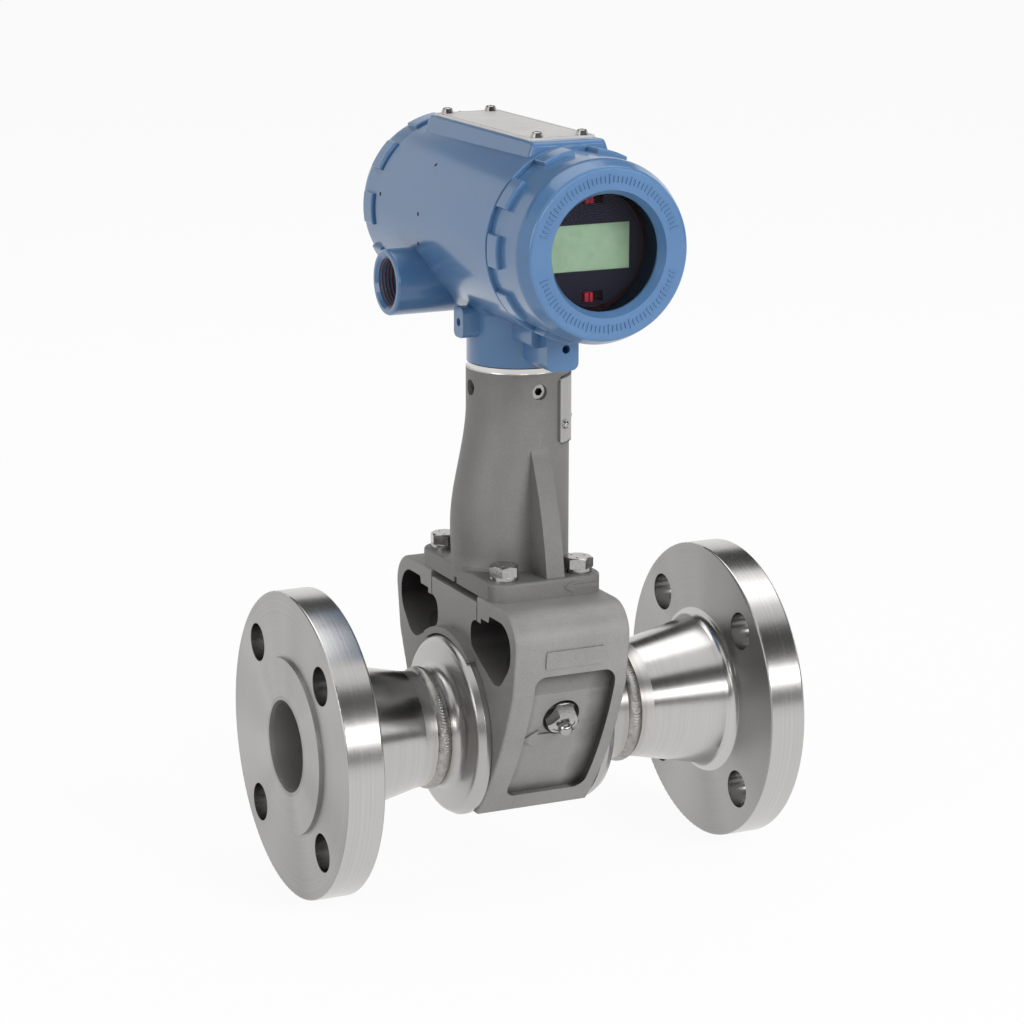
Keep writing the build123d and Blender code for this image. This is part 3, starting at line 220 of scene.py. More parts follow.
class Finish(Writer):
    """One material with helpers for tone, gloss, noise and bump."""

    def __init__(self, name, **constants):
        self.material = bpy.data.materials.new(name)
        self.material.use_nodes = True
        super().__init__(self.material.node_tree)
        self.tree.nodes.clear()
        self.shader = self.tree.nodes.new("ShaderNodeBsdfPrincipled")
        self.output = self.close("ShaderNodeOutputMaterial", Wire(self, self.shader.outputs[0]))
        self.place = self.add("ShaderNodeTexCoord", out="Object")
        self.x, self.y, self.z = self.split(self.place)
        for socket, value in constants.items():
            self.wear(socket.replace("_", " "), value)

    def wear(self, socket, value):
        """Gives one socket of the shader a wire or a constant."""
        target = self.shader.inputs[socket]
        if isinstance(value, Wire):
            self.tree.links.new(value.socket, target)
        else:
            target.default_value = with_alpha(value)
        return self

    def noise(self, scale, detail, at=None):
        sockets = {"Vector": at or self.place, "Scale": scale, "Detail": detail, "Roughness": 0.55}
        return self.add("ShaderNodeTexNoise", None, sockets)

    def tint(self, pattern, dark, light):
        """A colour that follows a noise."""
        stops = [(noise_low, dark), (noise_high, light)]
        return self.add("ShaderNodeValToRGB", {"stops": stops}, {0: pattern})

    def gloss(self, pattern, low, high):
        """A roughness that follows a noise."""
        return self.spread(pattern, noise_low, noise_high, low, high)

    def gloss_about(self, pattern, middle):
        """A roughness that stays close to a middle value."""
        return self.gloss(pattern, middle - smoother, middle + rougher)

    def blend(self, mask, first, second):
        """The first colour where the mask is 0 and the second where it is 1."""
        sockets = {0: mask, mix_first: with_alpha(first), mix_second: with_alpha(second)}
        return self.add("ShaderNodeMix", {"data_type": "RGBA"}, sockets, mix_result)

    def bump(self, height, distance, strength, over=None):
        sockets = {"Height": height, "Distance": distance, "Strength": strength}
        if over is not None:
            sockets["Normal"] = over
        return self.add("ShaderNodeBump", None, sockets)


finishes = {}
print("Finish is ready")

# %% [markdown]
# The body is a casting with two cored pockets that run right through it. Their insides get painted shade,
# darker towards their roof, where little light reaches. A mask made of plain comparisons finds the
# pockets, because their sides are straight.

# %% Painted shade in the cored pockets
pocket_low_z, pocket_high_z = 0.0252, 0.0552
pocket_mid_y, pocket_half_y = 0.0353, 0.0202
pocket_mid_x, pocket_half_x = -0.0035, 0.0253
pocket_roof, pocket_least_shade = 0.012, 0.2


def pocket_shade(finish):
    """How much painted shade a point gets in the cored pockets: 0 outside them, 1 at their roof."""
    along = abs(finish.x - (mid_x + pocket_mid_x)) < pocket_half_x
    across = abs(abs(finish.y) - pocket_mid_y) < pocket_half_y
    height = finish.spread(finish.z, pocket_low_z, pocket_high_z - pocket_roof, pocket_least_shade, 1.0)
    return height * along * across * (finish.z > pocket_low_z) * (finish.z < pocket_high_z)


print("the pockets reach from z =", pocket_low_z, "to", pocket_high_z)

# %% [markdown]
# The recesses in the walls get painted shade along their edges, most of it down the inlet side. They
# have rounded corners, so the mask measures how far a point lies inside a rounded rectangle, and a slow
# noise moves the border of the painted shade in and out.

# %% Painted shade in the wall recesses
recess_low_x, recess_high_x = mid_x - 0.0195, mid_x + 0.0165
recess_low_z, recess_high_z = -0.025, 0.034
recess_min_y, recess_round = 0.02, 0.005
edge_width, edge_shade = 0.0042, 0.4
side_from, side_to, side_shade = 0.0022, 0.0105, 0.85
shade_wander = 0.006


def past_straight(place, low, high):
    """How far a place lies past the straight part of a side, below 0 within it."""
    return abs(place - (low + high) / 2) - ((high - low) / 2 - recess_round)


def recess_shade(finish):
    """The painted shade in the wall recesses: strongest at the inlet side, faint along the other edges."""
    wander = (finish.noise(95.0, 3.0) - 0.5) * shade_wander
    past_x = past_straight(finish.x, recess_low_x, recess_high_x)
    past_z = past_straight(finish.z, recess_low_z, recess_high_z)
    outside = (past_x.do("MAXIMUM", 0.0) ** 2.0 + past_z.do("MAXIMUM", 0.0) ** 2.0) ** 0.5
    inset = recess_round - outside - past_x.do("MAXIMUM", past_z).do("MINIMUM", 0.0)
    edge = finish.spread(inset + wander, 0.0, edge_width, edge_shade, 0.0)
    side = finish.spread(recess_high_x - finish.x + wander, side_from, side_to, side_shade, 0.0)
    return edge.do("MAXIMUM", side) * (inset > 0.0) * (abs(finish.y) > recess_min_y)


print("the recesses reach from x =", round(recess_low_x, 4), "to", round(recess_high_x, 4))

# %% [markdown]
# The body and the tube are stainless castings blasted with glass beads. Blasting leaves thousands of tiny
# dents that scatter the light, so the metal looks flat grey and hardly mirrors anything. A mostly diffuse
# shader shows that better than a rough mirror. A fine noise in the bump gives the dents and a slower one
# the faint cloudiness. The tube is a casting of its own, and its tone is darkened as painted shade, since
# it stands in less light than the body. Only its top was turned on a lathe afterwards, and it stays bright.

# %% Blasted casting
tube_foot_z, turned_top_z = 0.0605, 0.1495
tube_painted_shade, pocket_darkening = 0.34, 0.93
pale_turning_and_land_highlight = (0.66, 0.65, 0.63)


def blasted_casting():
    finish = Finish("blasted casting", Specular_IOR_Level=0.45)
    cloud = finish.noise(38.0, 4.0)
    grain = finish.noise(1500.0, 2.0)
    dents = finish.noise(520.0, 3.0)
    turned = finish.z > turned_top_z
    tone = finish.tint(cloud * 0.6 + grain * 0.4, (0.222, 0.216, 0.211), (0.318, 0.31, 0.303))
    # Painted shade: the tube is darkened towards near black.
    tone = finish.blend((finish.z > tube_foot_z) * tube_painted_shade, tone, (0.01, 0.01, 0.01))
    # Painted shade along the edges of the wall recesses.
    tone = finish.blend(recess_shade(finish), tone, (0.045, 0.041, 0.04))
    # Painted shade: the cored pockets are darkened towards their roof.
    tone = finish.blend(pocket_shade(finish) * pocket_darkening, tone, (0.012, 0.009, 0.009))
    finish.wear("Base Color", finish.blend(turned, tone, pale_turning_and_land_highlight))
    finish.wear("Metallic", turned * 0.65 + 0.35)
    finish.wear("Roughness", finish.gloss(cloud, 0.46, 0.56) - turned * 0.26)
    finish.wear("Normal", finish.bump((grain * 0.6 + dents * 0.4) * (1.0 - turned), 0.0002, 0.8))
    return finish.material


finishes["blasted_casting"] = blasted_casting()
print("made", finishes["blasted_casting"].name)

# %% [markdown]
# Beside each weld the heat has left a faint straw ring with a brown band in it. Both follow the distance
# from the weld's middle, in millimetres here, and a noise keeps them from being perfect circles.

# %% Heat tint beside the welds
millimetres = 1000.0
brown_mid, brown_half = 5.2, 1.8
straw_full, straw_gone = 2.6, 7.0
tint_wander = 1.6


def heat_tint(finish, colour):
    """Faint straw and brown rings beside both welds, over a colour."""
    away = abs(abs(finish.x - mid_x) - weld_half) * millimetres
    wander = finish.noise(90.0, 2.0) * tint_wander
    brown = finish.spread(abs(away + wander - brown_mid), 0.0, brown_half, 1.0, 0.0)
    straw = finish.spread(away + wander, straw_full, straw_gone, 1.0, 0.0)
    warm = finish.blend(straw * 0.25, colour, (0.46, 0.40, 0.31))
    return finish.blend(brown * 0.16, warm, (0.20, 0.16, 0.13))


print("the tint ends", straw_gone, "mm from a weld's middle")

# %% [markdown]
# Flanges and the body's ends are turned on a lathe, so every mark on them is a circle about the pipe axis.
# Feeding a noise with only the distance from the axis and the place along it gives those circles. The tool
# leaves the flat faces satin and the hubs and rims brighter, the raised face has a coarser groove that
# grips a gasket, and the body's ends are polished. Little light gets into the bolt holes, so their walls
# are darker.

# %% Places on the turned steel
flange_face_away = 0.1022
flange_back_away, back_slack = 0.08665, 0.0005
raised_face_away, raised_face_r = 0.1040, 0.0366
body_end_away = 0.0407
weld_land, weld_land_r = (0.0466, 0.0522), 0.0215
hub_root_r, bore_r = 0.0355, 0.0207
hole_out, hole_r = 0.0348, 0.0081
fine_marks, coarse_marks = 3600.0, 900.0
groove_pitch = 0.0008
print("the flat faces lie past", flange_face_away, "m from the meter's middle")

# %% Turned steel
def turned_steel():
    finish = Finish("turned steel", Metallic=1.0)
    y, z = finish.y, finish.z
    radius = (y * y + z * z) ** 0.5
    away = abs(finish.x - mid_x)
    fine = finish.noise(1.0, 2.0, finish.vector(away * fine_marks, radius * fine_marks, 0.0))
    bands = finish.noise(1.0, 2.0, finish.vector(away * coarse_marks, radius * coarse_marks, 0.0))
    wedge_sheen = finish.noise(1.3, 1.0, finish.vector(y / radius, z / radius, 0.0))
    smear = finish.noise(11.0, 2.0)
    raised = (radius < raised_face_r) * (away > raised_face_away)
    back = (abs(away - flange_back_away) < back_slack) * (radius > hub_root_r)
    flat = (away > flange_face_away) + back
    end = away < body_end_away
    land = (away > weld_land[0]) * (away < weld_land[1]) * (radius > weld_land_r)
    bore = radius < bore_r
    hole = ((abs(y) - hole_out) ** 2.0 + (abs(z) - hole_out) ** 2.0) ** 0.5 < hole_r
    turned = (fine * 0.4 + bands * 0.6) * (1.0 - end) + end * 0.5
    mix = turned * 0.45 + smear * 0.55
    bright = finish.tint(mix, (0.47, 0.46, 0.448), (0.58, 0.57, 0.557))
    # The flat faces' tone wanders slowly round the axis: painted sheen for the wedge-shaped highlights of
    # turned faces.
    satin = finish.tint(mix * 0.6 + wedge_sheen * 0.4, (0.25, 0.246, 0.24), (0.48, 0.473, 0.464))
    tone = finish.blend(flat, bright, satin)
    tone = finish.blend(end * 0.5, tone, (0.40, 0.392, 0.382))
    tone = finish.blend(hole * (away > body_end_away) * 0.34, tone, (0.05, 0.048, 0.046))
    # The land beside each weld is painted a little paler: a painted highlight for its shading against the
    # hub's taper.
    finish.wear("Base Color", heat_tint(finish, finish.blend(land * 0.16, tone, pale_turning_and_land_highlight)))
    rough = finish.gloss(turned * 0.3 + smear * 0.7, 0.19, 0.26)
    finish.wear("Roughness", rough + flat * 0.17 + end * 0.08 + land * 0.14 + bore * 0.22)
    grooves = (radius * (2 * math.pi / groove_pitch)).do("SINE") * raised
    finish.wear("Normal", finish.bump(grooves, 0.00003, 0.5, finish.bump(turned, 0.000016, 0.6)))
    return finish.material


finishes["turned_steel"] = turned_steel()
print("made", finishes["turned_steel"].name)

# %% [markdown]
# Weld metal freezes in ripples and comes out of the heat with a thin, patchy oxide. The ripples are real
# geometry further down, so the finish adds only the patches, in tone and gloss, and a slight unevenness.

# %% Weld metal
def weld_metal():
    finish = Finish("weld metal", Metallic=1.0)
    mottle = finish.noise(420.0, 4.0)
    finish.wear("Base Color", finish.tint(mottle, (0.27, 0.26, 0.245), (0.44, 0.43, 0.415)))
    finish.wear("Roughness", finish.gloss(mottle, 0.26, 0.4))
    finish.wear("Normal", finish.bump(mottle, 0.00004, 0.5))
    return finish.material


finishes["weld_metal"] = weld_metal()
print("made", finishes["weld_metal"].name)

# %% [markdown]
# Fasteners are bright rolled or pressed steel, and parts that live inside are plainly machined. All need
# only a fine scratch pattern and a change of roughness. The hexagon sockets of the tube's set screws are
# deep, so they get painted shade and are kept dark.

# %% Bright and inner steel
set_screw_z, set_screw_half, set_screw_face_r = 0.142, 0.0035, 0.0192


def set_screw_socket_shade(finish):
    """1 inside the hexagon sockets of the tube's set screws, where shade is painted."""
    x, y = finish.x - mid_x, finish.y
    from_tube_axis = (x * x + y * y) ** 0.5
    return (abs(finish.z - set_screw_z) < set_screw_half) * (from_tube_axis < set_screw_face_r)


def plain_steel(name, dark, light, rough, grain_scale):
    finish = Finish(name, Metallic=1.0)
    smear = finish.noise(160.0, 3.0)
    scratch = finish.noise(grain_scale, 2.0)
    tone = finish.tint(smear * 0.5 + scratch * 0.5, dark, light)
    # Painted shade: the set screws' sockets are nearly black.
    finish.wear("Base Color", finish.blend(set_screw_socket_shade(finish), tone, (0.012, 0.012, 0.012)))
    finish.wear("Roughness", finish.gloss_about(smear, rough))
    finish.wear("Normal", finish.bump(scratch, 0.00003, 0.5))
    return finish.material


steels = {
    "bright_fastener": ((0.33, 0.324, 0.315), (0.47, 0.463, 0.452), 0.2, 900.0),
    "inner_steel": ((0.42, 0.42, 0.41), (0.58, 0.58, 0.57), 0.3, 700.0),
    "plated_screw": ((0.56, 0.50, 0.38), (0.74, 0.69, 0.55), 0.24, 900.0),
}
for slot_name, values in steels.items():
    finishes[slot_name] = plain_steel(slot_name.replace("_", " "), *values)
print("made", len(steels), "plain steels")

# %% [markdown]
# The housing wears a thick enamel. Its body colour is a mid steel blue, and a clear gloss on top takes the
# studio lights. Sprayed enamel is never quite flat: a slow ripple, called orange peel, breaks the
# reflections. Four pinholes show dark primer on the barrel's side, and have no gloss.

# %% Blue enamel
pinholes = [(-0.1316, 0.0163, 0.2313), (-0.1391, 0.0568, 0.2146),
            (-0.1399, 0.0157, 0.2119), (-0.1393, 0.0170, 0.1996)]
pinhole_r = 0.0009
coat = 0.62


def pinhole(finish, place):
    """1 within a pinhole's radius of its place."""
    sockets = {0: finish.place, 1: place}
    return finish.add("ShaderNodeVectorMath", {"operation": "DISTANCE"}, sockets, "Value") < pinhole_r


def blue_enamel():
    finish = Finish("blue enamel", Specular_IOR_Level=0.28, Coat_Roughness=0.1, Coat_IOR=1.5)
    cloud = finish.noise(30.0, 3.0)
    peel = finish.noise(330.0, 2.0)
    speck = finish.noise(2200.0, 1.0)
    spots = pinhole(finish, pinholes[0])
    for place in pinholes[1:]:
        spots = spots + pinhole(finish, place)
    tone = finish.tint(cloud * 0.7 + speck * 0.3, (0.060, 0.144, 0.288), (0.076, 0.173, 0.336))
    finish.wear("Base Color", finish.blend(spots, tone, (0.012, 0.012, 0.016)))
    finish.wear("Coat Weight", coat - spots * coat)
    finish.wear("Roughness", finish.gloss(cloud, 0.3, 0.38) + spots * 0.5)
    finish.wear("Normal", finish.bump(peel, 0.00006, 0.5))
    return finish.material


finishes["blue_paint"] = blue_enamel()
print("made", finishes["blue_paint"].name)

# %% [markdown]
# The nameplate and the tag are thin bare plates with a straight brushed grain. The brushing is noise
# stretched along one direction. Each plate sits in a narrow shadow, so a thin dark line runs just inside
# its edge, drawn from the place on the plate: across and along for the flat one, and up and round the tube
# for the bent one.

# %% Bare brushed plate
plate_top_z = 0.2465
plate_mid_y, plate_half_y, plate_half_x = 0.005, 0.0448, 0.0133
plate_line_half, tag_line_width = 0.0002, 0.0007
tag_mid_turn, tag_half_turn = math.radians(61.0), math.radians(33.6)
grain_across, grain_along = 3200.0, 90.0


def bare_plate():
    finish = Finish("bare plate", Metallic=0.6)
    x, y, z = finish.x, finish.y, finish.z
    brush = finish.noise(1.0, 3.0, finish.vector(x * grain_across, y * grain_along, z * grain_along))
    smear = finish.noise(55.0, 3.0)
    tone = finish.tint(brush * 0.4 + smear * 0.6, (0.58, 0.573, 0.556), (0.70, 0.69, 0.672))
    across, down = abs(x - mid_x), abs(y - plate_mid_y)
    flat_line = (abs(across - plate_half_x) < plate_line_half) * (down < plate_half_y)
    flat_line = flat_line + (abs(down - plate_half_y) < plate_line_half) * (across < plate_half_x)
    tag_low, tag_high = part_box("tag_plate")
    rise = abs(z - (tag_low.z + tag_high.z) / 2) - ((tag_high.z - tag_low.z) / 2 - tag_line_width)
    turn = abs((x - mid_x).do("ARCTAN2", -y) - tag_mid_turn) - tag_half_turn
    tone = finish.blend((z < plate_top_z) * 0.5, tone, (0.16, 0.158, 0.155))
    line = flat_line * (z > plate_top_z) + ((rise > 0.0) + (turn > 0.0)) * (z < plate_top_z)
    finish.wear("Base Color", finish.blend(line.do("MINIMUM", 1.0) * 0.85, tone, (0.05, 0.05, 0.05)))
    finish.wear("Roughness", finish.gloss(brush, 0.44, 0.54))
    finish.wear("Normal", finish.bump(brush, 0.00003, 0.4))
    return finish.material


finishes["bare_plate"] = bare_plate()
print("made", finishes["bare_plate"].name)

# %% [markdown]
# Rubber, potting and moulded plastics differ by colour, gloss and how coarse and deep their grain is, so
# one function with five values serves them all.

# %% Rubbers and plastics
grains_per_cloud = 14


def moulded(name, dark, light, rough, grain_scale, dent):
    finish = Finish(name, Specular_IOR_Level=0.2)
    cloud = finish.noise(grain_scale / grains_per_cloud, 3.0)
    grain = finish.noise(grain_scale, 2.0)
    finish.wear("Base Color", finish.tint(cloud * 0.5 + grain * 0.5, dark, light))
    finish.wear("Roughness", finish.gloss_about(cloud, rough))
    finish.wear("Normal", finish.bump(grain, dent, 0.6))
    return finish.material


mouldings = {
    "seal_rubber": ((0.012, 0.012, 0.013), (0.022, 0.022, 0.023), 0.5, 900.0, 0.00003),
    "cable_jacket": ((0.03, 0.03, 0.032), (0.05, 0.05, 0.052), 0.55, 700.0, 0.00003),
    "potting": ((0.018, 0.009, 0.009), (0.032, 0.016, 0.014), 0.35, 260.0, 0.00008),
    "circuit_board": ((0.022, 0.006, 0.008), (0.04, 0.012, 0.014), 0.3, 500.0, 0.00003),
    "bezel_plastic": ((0.006, 0.006, 0.018), (0.010, 0.010, 0.028), 0.42, 1400.0, 0.00003),
    "red_knob": ((0.42, 0.022, 0.045), (0.52, 0.03, 0.06), 0.36, 1200.0, 0.00002),
    "terminal_plastic": ((0.018, 0.018, 0.018), (0.032, 0.032, 0.032), 0.45, 900.0, 0.00004),
    "bronze_thread": ((0.10, 0.042, 0.03), (0.2, 0.09, 0.065), 0.36, 500.0, 0.00003),
}
for slot_name, values in mouldings.items():
    finishes[slot_name] = moulded(slot_name.replace("_", " "), *values)
print("made", len(mouldings), "moulded finishes")

# %% [markdown]
# A liquid-crystal display that shows nothing is still not one flat colour. Its polariser has a soft
# mottling and a faint dot grid. It sits deep behind the window, where little light falls, so it is given a
# faint glow: painted light, since an unlit display gives none.

# %% Display glass
cells_per_metre, cell_gap = 900.0, 0.08


def display_glass():
    finish = Finish("display glass", Specular_IOR_Level=0.3, Emission_Strength=0.1)
    columns = (finish.x * cells_per_metre).do("FRACT") < cell_gap
    rows = (finish.z * cells_per_metre).do("FRACT") < cell_gap
    mottle = finish.noise(230.0, 4.0)
    tone = finish.tint(mottle, (0.26, 0.42, 0.265), (0.32, 0.485, 0.32))
    tone = finish.blend((columns + rows) * 0.06, tone, (0.12, 0.22, 0.12))
    # The glow is painted light.
    finish.wear("Base Color", tone).wear("Emission Color", tone)
    finish.wear("Roughness", finish.gloss(mottle, 0.38, 0.46))
    return finish.material


finishes["display_glass"] = display_glass()
print("made", finishes["display_glass"].name)

# %% [markdown]
# The window is thick, but what is seen of it is a weak reflection over a clear view. A Mix Shader does that
# well: mostly a transparent shader, and as much gloss as Fresnel's law gives at each angle. Light passes
# through it to the display, which a solid refracting glass would keep dark.

# %% Window glass
def window_glass():
    finish = Finish("window glass")
    clear = finish.add("ShaderNodeBsdfTransparent", None, {0: (0.93, 0.92, 0.93, 1.0)})
    gloss = finish.add("ShaderNodeBsdfGlossy", None, {"Roughness": 0.02})
    share = finish.add("ShaderNodeFresnel", None, {"IOR": 1.16})
    mixed = finish.add("ShaderNodeMixShader", None, {0: share, 1: clear, 2: gloss})
    finish.tree.nodes.remove(finish.shader)
    finish.tree.links.new(mixed.socket, finish.output.inputs[0])
    return finish.material


finishes["clear_glass"] = window_glass()
print("made", finishes["clear_glass"].name)

# %% [markdown]
# Each node of the model names its finish in the record. Putting the new material into the object's slot
# leaves the mesh itself alone.

# %% Dress the model's own pieces
slot_of = {part["node"]: part["material_slot"] for part in frame["record"]["subparts"]}
for name, piece in frame["nodes"].items():
    piece.material_slots[0].material = finishes[slot_of[name]]
print("dressed", len(slot_of), "pieces")

# %% [markdown]
# Anything that repeats is grown by Geometry Nodes. A Recipe is a node tree with named inputs. It always
# ends by realising its instances, setting the shading and setting the material. Growing it runs the tree
# once and keeps the plain mesh, so nothing is left that could change later.

# %% Geometry Nodes helper
class Recipe(Writer):
    """A geometry node tree with named inputs."""

    def __init__(self, name, **inputs):
        tree = bpy.data.node_groups.new(name, "GeometryNodeTree")
        super().__init__(tree)
        self.labels = {}
        for label, value in inputs.items():
            kind = "NodeSocketInt" if isinstance(value, int) else "NodeSocketFloat"
            item = tree.interface.new_socket(name=label, in_out="INPUT", socket_type=kind)
            item.default_value = value
            self.labels[label] = item.identifier
        self.material_id = tree.interface.new_socket(
            name="finish", in_out="INPUT", socket_type="NodeSocketMaterial").identifier
        tree.interface.new_socket(name="Geometry", in_out="OUTPUT", socket_type="NodeSocketGeometry")
        self.group = tree.nodes.new("NodeGroupInput")

    def __getitem__(self, label):
        return Wire(self, self.group.outputs[label])

    def serve(self, geometry, smooth=True):
        """Ends the tree: realise, shade and set the material."""
        whole = self.add("GeometryNodeRealizeInstances", None, {0: geometry})
        whole = self.add("GeometryNodeSetShadeSmooth", None, {0: whole, 2: smooth})
        whole = self.add("GeometryNodeSetMaterial", None, {0: whole, 2: self["finish"]})
        self.close("NodeGroupOutput", whole)
        return self

    def grow(self, name, finish, **values):
        """Runs the tree once and returns its plain mesh as an object."""
        seed = show(bpy.data.objects.new(name + "_seed", bpy.data.meshes.new(name + "_seed")))
        modifier = seed.modifiers.new("recipe", "NODES")
        modifier.node_group = self.tree
        modifier[self.material_id] = finish
        for label, value in values.items():
            modifier[self.labels[label]] = value
        graph = bpy.context.evaluated_depsgraph_get()
        mesh = bpy.data.meshes.new_from_object(seed.evaluated_get(graph))
        seed.modifiers.remove(modifier)
        bpy.data.objects.remove(seed)
        mesh.name = name
        return show(bpy.data.objects.new(name, mesh))


def show(thing):
    """Puts an object into the scene."""
    bpy.context.scene.collection.objects.link(thing)
    return thing


def settle(piece, body, slot, *replaced):
    """Ties a finished piece to its body and hides the pieces it replaces."""
    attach(piece, body)
    if replaced:
        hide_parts(*replaced)
    print(piece.name, "rides on", body, "with", len(piece.data.polygons), "faces")


def move_points(mesh, matrix):
    """Moves a mesh's own points, so its object can stay at the origin."""
    mesh.transform(matrix)
    mesh.update()


print("Recipe is ready")

# %% [markdown]
# The support tube flares out by three millimetres where it meets its base plate, and at two places that
# flare is wider than the plate. The foundry grinds such an overhang flush. The model's own mesh is never
# changed, so the tube is copied, its loose triangles are joined, the overhang is pushed back to the plate's
# side, and the copy stands in for the original.

# %% Tube with its foot ground flush
flare_low_z, flare_high_z = 0.0679, 0.0711
ground_low_x, ground_high_x = mid_x - 0.0287, mid_x + 0.0217
same_place = 0.000001
sharp_edge = math.radians(28)


def ground_tube():
    mesh = frame["nodes"]["neck"].data.copy()
    mesh.name = "support_tube"
    work = bmesh.new()
    work.from_mesh(mesh)
    bmesh.ops.remove_doubles(work, verts=work.verts, dist=same_place)
    moved = 0
    for point in work.verts:
        flush = min(max(point.co.x, ground_low_x), ground_high_x)
        if flare_low_z < point.co.z < flare_high_z and flush != point.co.x:
            point.co.x = flush
            moved += 1
    bmesh.ops.dissolve_degenerate(work, edges=work.edges, dist=same_place)
    work.to_mesh(mesh)
    work.free()
    if "custom_normal" in mesh.attributes:
        mesh.attributes.remove(mesh.attributes["custom_normal"])
    mesh.shade_smooth()
    mesh.set_sharp_from_angle(angle=sharp_edge)
    print("pushed back", moved, "points")
    return show(bpy.data.objects.new("support_tube", mesh))


settle(ground_tube(), "meter", slot_of["neck"], "neck")

# %% [markdown]
# A butt weld laid in one pass shows V-shaped ripples, one for each drop of filler. The bead is a closed
# ring: a grid wrapped round the pipe one way and round the bead's section the other way. Over the crown, a
# folded sine pushes the surface up, and its phase is shifted towards the edges, which bends each ripple
# into a V.

# %% Weld bead recipe
full_turn = 2 * math.pi
points_per_ripple, points_round_section = 10, 31
crown_share = 0.74
ripple_wander, crown_least, crown_wander, edge_wander = 1.2, 0.9, 0.3, 0.25
bead_seam = 0.000004


def weld_recipe():
    sheet = Recipe("rippled weld bead", ripples=124, half_width=0.0031, pipe_radius=0.02415,
                   root_radius=0.02065, crown=0.0011, ripple_height=0.00024, lean=2.6, seed=0.0)
    columns = sheet["ripples"] * points_per_ripple + 1
    grid = sheet.add("GeometryNodeMeshGrid", None, {0: 1.0, 1: 1.0, 2: columns, 3: points_round_section})
    x, y, _ = sheet.split(sheet.add("GeometryNodeInputPosition"))
    turn = (x + 0.5) * full_turn
    loop = y + 0.5
    on_crown = loop < crown_share
    over = sheet.spread(loop, 0.0, crown_share, -1.0, 1.0)
    under = sheet.spread(loop, crown_share, 1.0, 1.0, -1.0)
    across = over * on_crown + under * (1.0 - on_crown)
    dome = 1.0 - across * across
    circle = sheet.vector(turn.do("COSINE"), turn.do("SINE"), 0.0)
    wander = sheet.add("ShaderNodeTexNoise", {"noise_dimensions": "4D"},
                       {"Vector": circle, "W": sheet["seed"], "Scale": 5.0, "Detail": 2.0})
    phase = turn / full_turn * sheet["ripples"] + across * across * sheet["lean"] + wander * ripple_wander
    hill = abs((phase * math.pi).do("SINE"))
    height = sheet["crown"] * dome * (crown_least + wander * crown_wander)
    height = height + hill * sheet["ripple_height"] * (dome ** 0.5)
    top = sheet["pipe_radius"] + height
    depth = sheet["pipe_radius"] - sheet["root_radius"]
    low = sheet["pipe_radius"] - depth * (1.0 - abs(across))
    radius = top * on_crown + low * (1.0 - on_crown)
    edge = 1.0 + (wander - 0.5) * edge_wander * on_crown * abs(across)
    placed = sheet.vector(across * sheet["half_width"] * edge,
                          radius * turn.do("COSINE"), radius * turn.do("SINE"))
    ring = sheet.add("GeometryNodeSetPosition", None, {0: grid, 2: placed})
    ring = sheet.add("GeometryNodeMergeByDistance", None, {0: ring, "Distance": bead_seam})
    return sheet.serve(ring)


weld_bead = weld_recipe()
print("inputs", list(weld_bead.labels))

# %% [markdown]
# The recipe's bead stands round the origin. Each of the two gets its own seed, so that their unevenness
# differs, is moved along the pipe to its joint, and stands in for the model's plain bead.

# %% Grow both weld beads
for node, side, seed_value in (("inlet_weld", 1, 1.7), ("outlet_weld", -1, 5.3)):
    bead = weld_bead.grow(node + "_bead", finishes["weld_metal"], seed=seed_value)
    move_points(bead.data, Matrix.Translation((mid_x + side * weld_half, 0, 0)))
    settle(bead, "meter", "weld_metal", node)

# %% [markdown]
# The conduit entries and the covers are threaded. A thread is one line wound round a cylinder, so a spiral
# curve with a small four-sided profile swept along it is all it takes. The profile is partly sunk in the
# wall, so only its ridge shows.

# %% Thread recipe
def thread_recipe():
    sheet = Recipe("wound thread", turns=10.5, radius=0.01, length=0.0165, ridge=0.00045)
    line = sheet.add("GeometryNodeCurveSpiral", None, {
        "Resolution": 72, "Rotations": sheet["turns"], "Start Radius": sheet["radius"],
        "End Radius": sheet["radius"], "Height": sheet["length"]})
    profile = {"Resolution": 4, "Radius": sheet["ridge"]}
    section = sheet.add("GeometryNodeCurvePrimitiveCircle", None, profile)
    swept = sheet.add("GeometryNodeCurveToMesh", None, {0: line, 1: section, "Fill Caps": True})
    return sheet.serve(swept, False)


wound_thread = thread_recipe()
print("inputs", list(wound_thread.labels))

# %% [markdown]
# The spiral climbs along Z. For the two conduit entries it is laid down along X, once each way. Each thread
# starts deep in its entry and runs out towards the mouth. Its bronze is a finish that the record doesn't
# have.

# %% Threads in the conduit entries
thread_start_away, conduit_thread_r = 0.0297, 0.01005
along_x = Matrix.Rotation(math.radians(90), 4, "Y")
for side, name in ((-1, "left"), (1, "right")):
    thread = wound_thread.grow(f"conduit_thread_{name}", finishes["bronze_thread"], radius=conduit_thread_r)
    start = Matrix.Translation((mid_x + side * thread_start_away, conduit_y, conduit_z))
    move_points(thread.data, start @ (along_x if side > 0 else along_x.inverted()))
    settle(thread, "head", "plated_screw")

# %% [markdown]
# The covers' spigots carry a finer thread, seen only when a cover is unscrewed. It stays within the gap
# between spigot and bore.

# %% Cover threads
spigot_thread = {"turns": 4.0, "radius": 0.03425, "length": 0.0075, "ridge": 0.0003}
thread_setback = 0.0035
along_y = Matrix.Rotation(math.radians(90), 4, "X")
for body, start_y, laid_down in (("front_cap", cover_front_y + thread_setback, along_y.inverted()),
                                 ("rear_cap", cover_rear_y - thread_setback, along_y)):
    thread = wound_thread.grow(body + "_thread", finishes["blue_paint"], **spigot_thread)
    move_points(thread.data, Matrix.Translation((mid_x, start_y, barrel_z)) @ laid_down)
    settle(thread, body, "blue_paint")

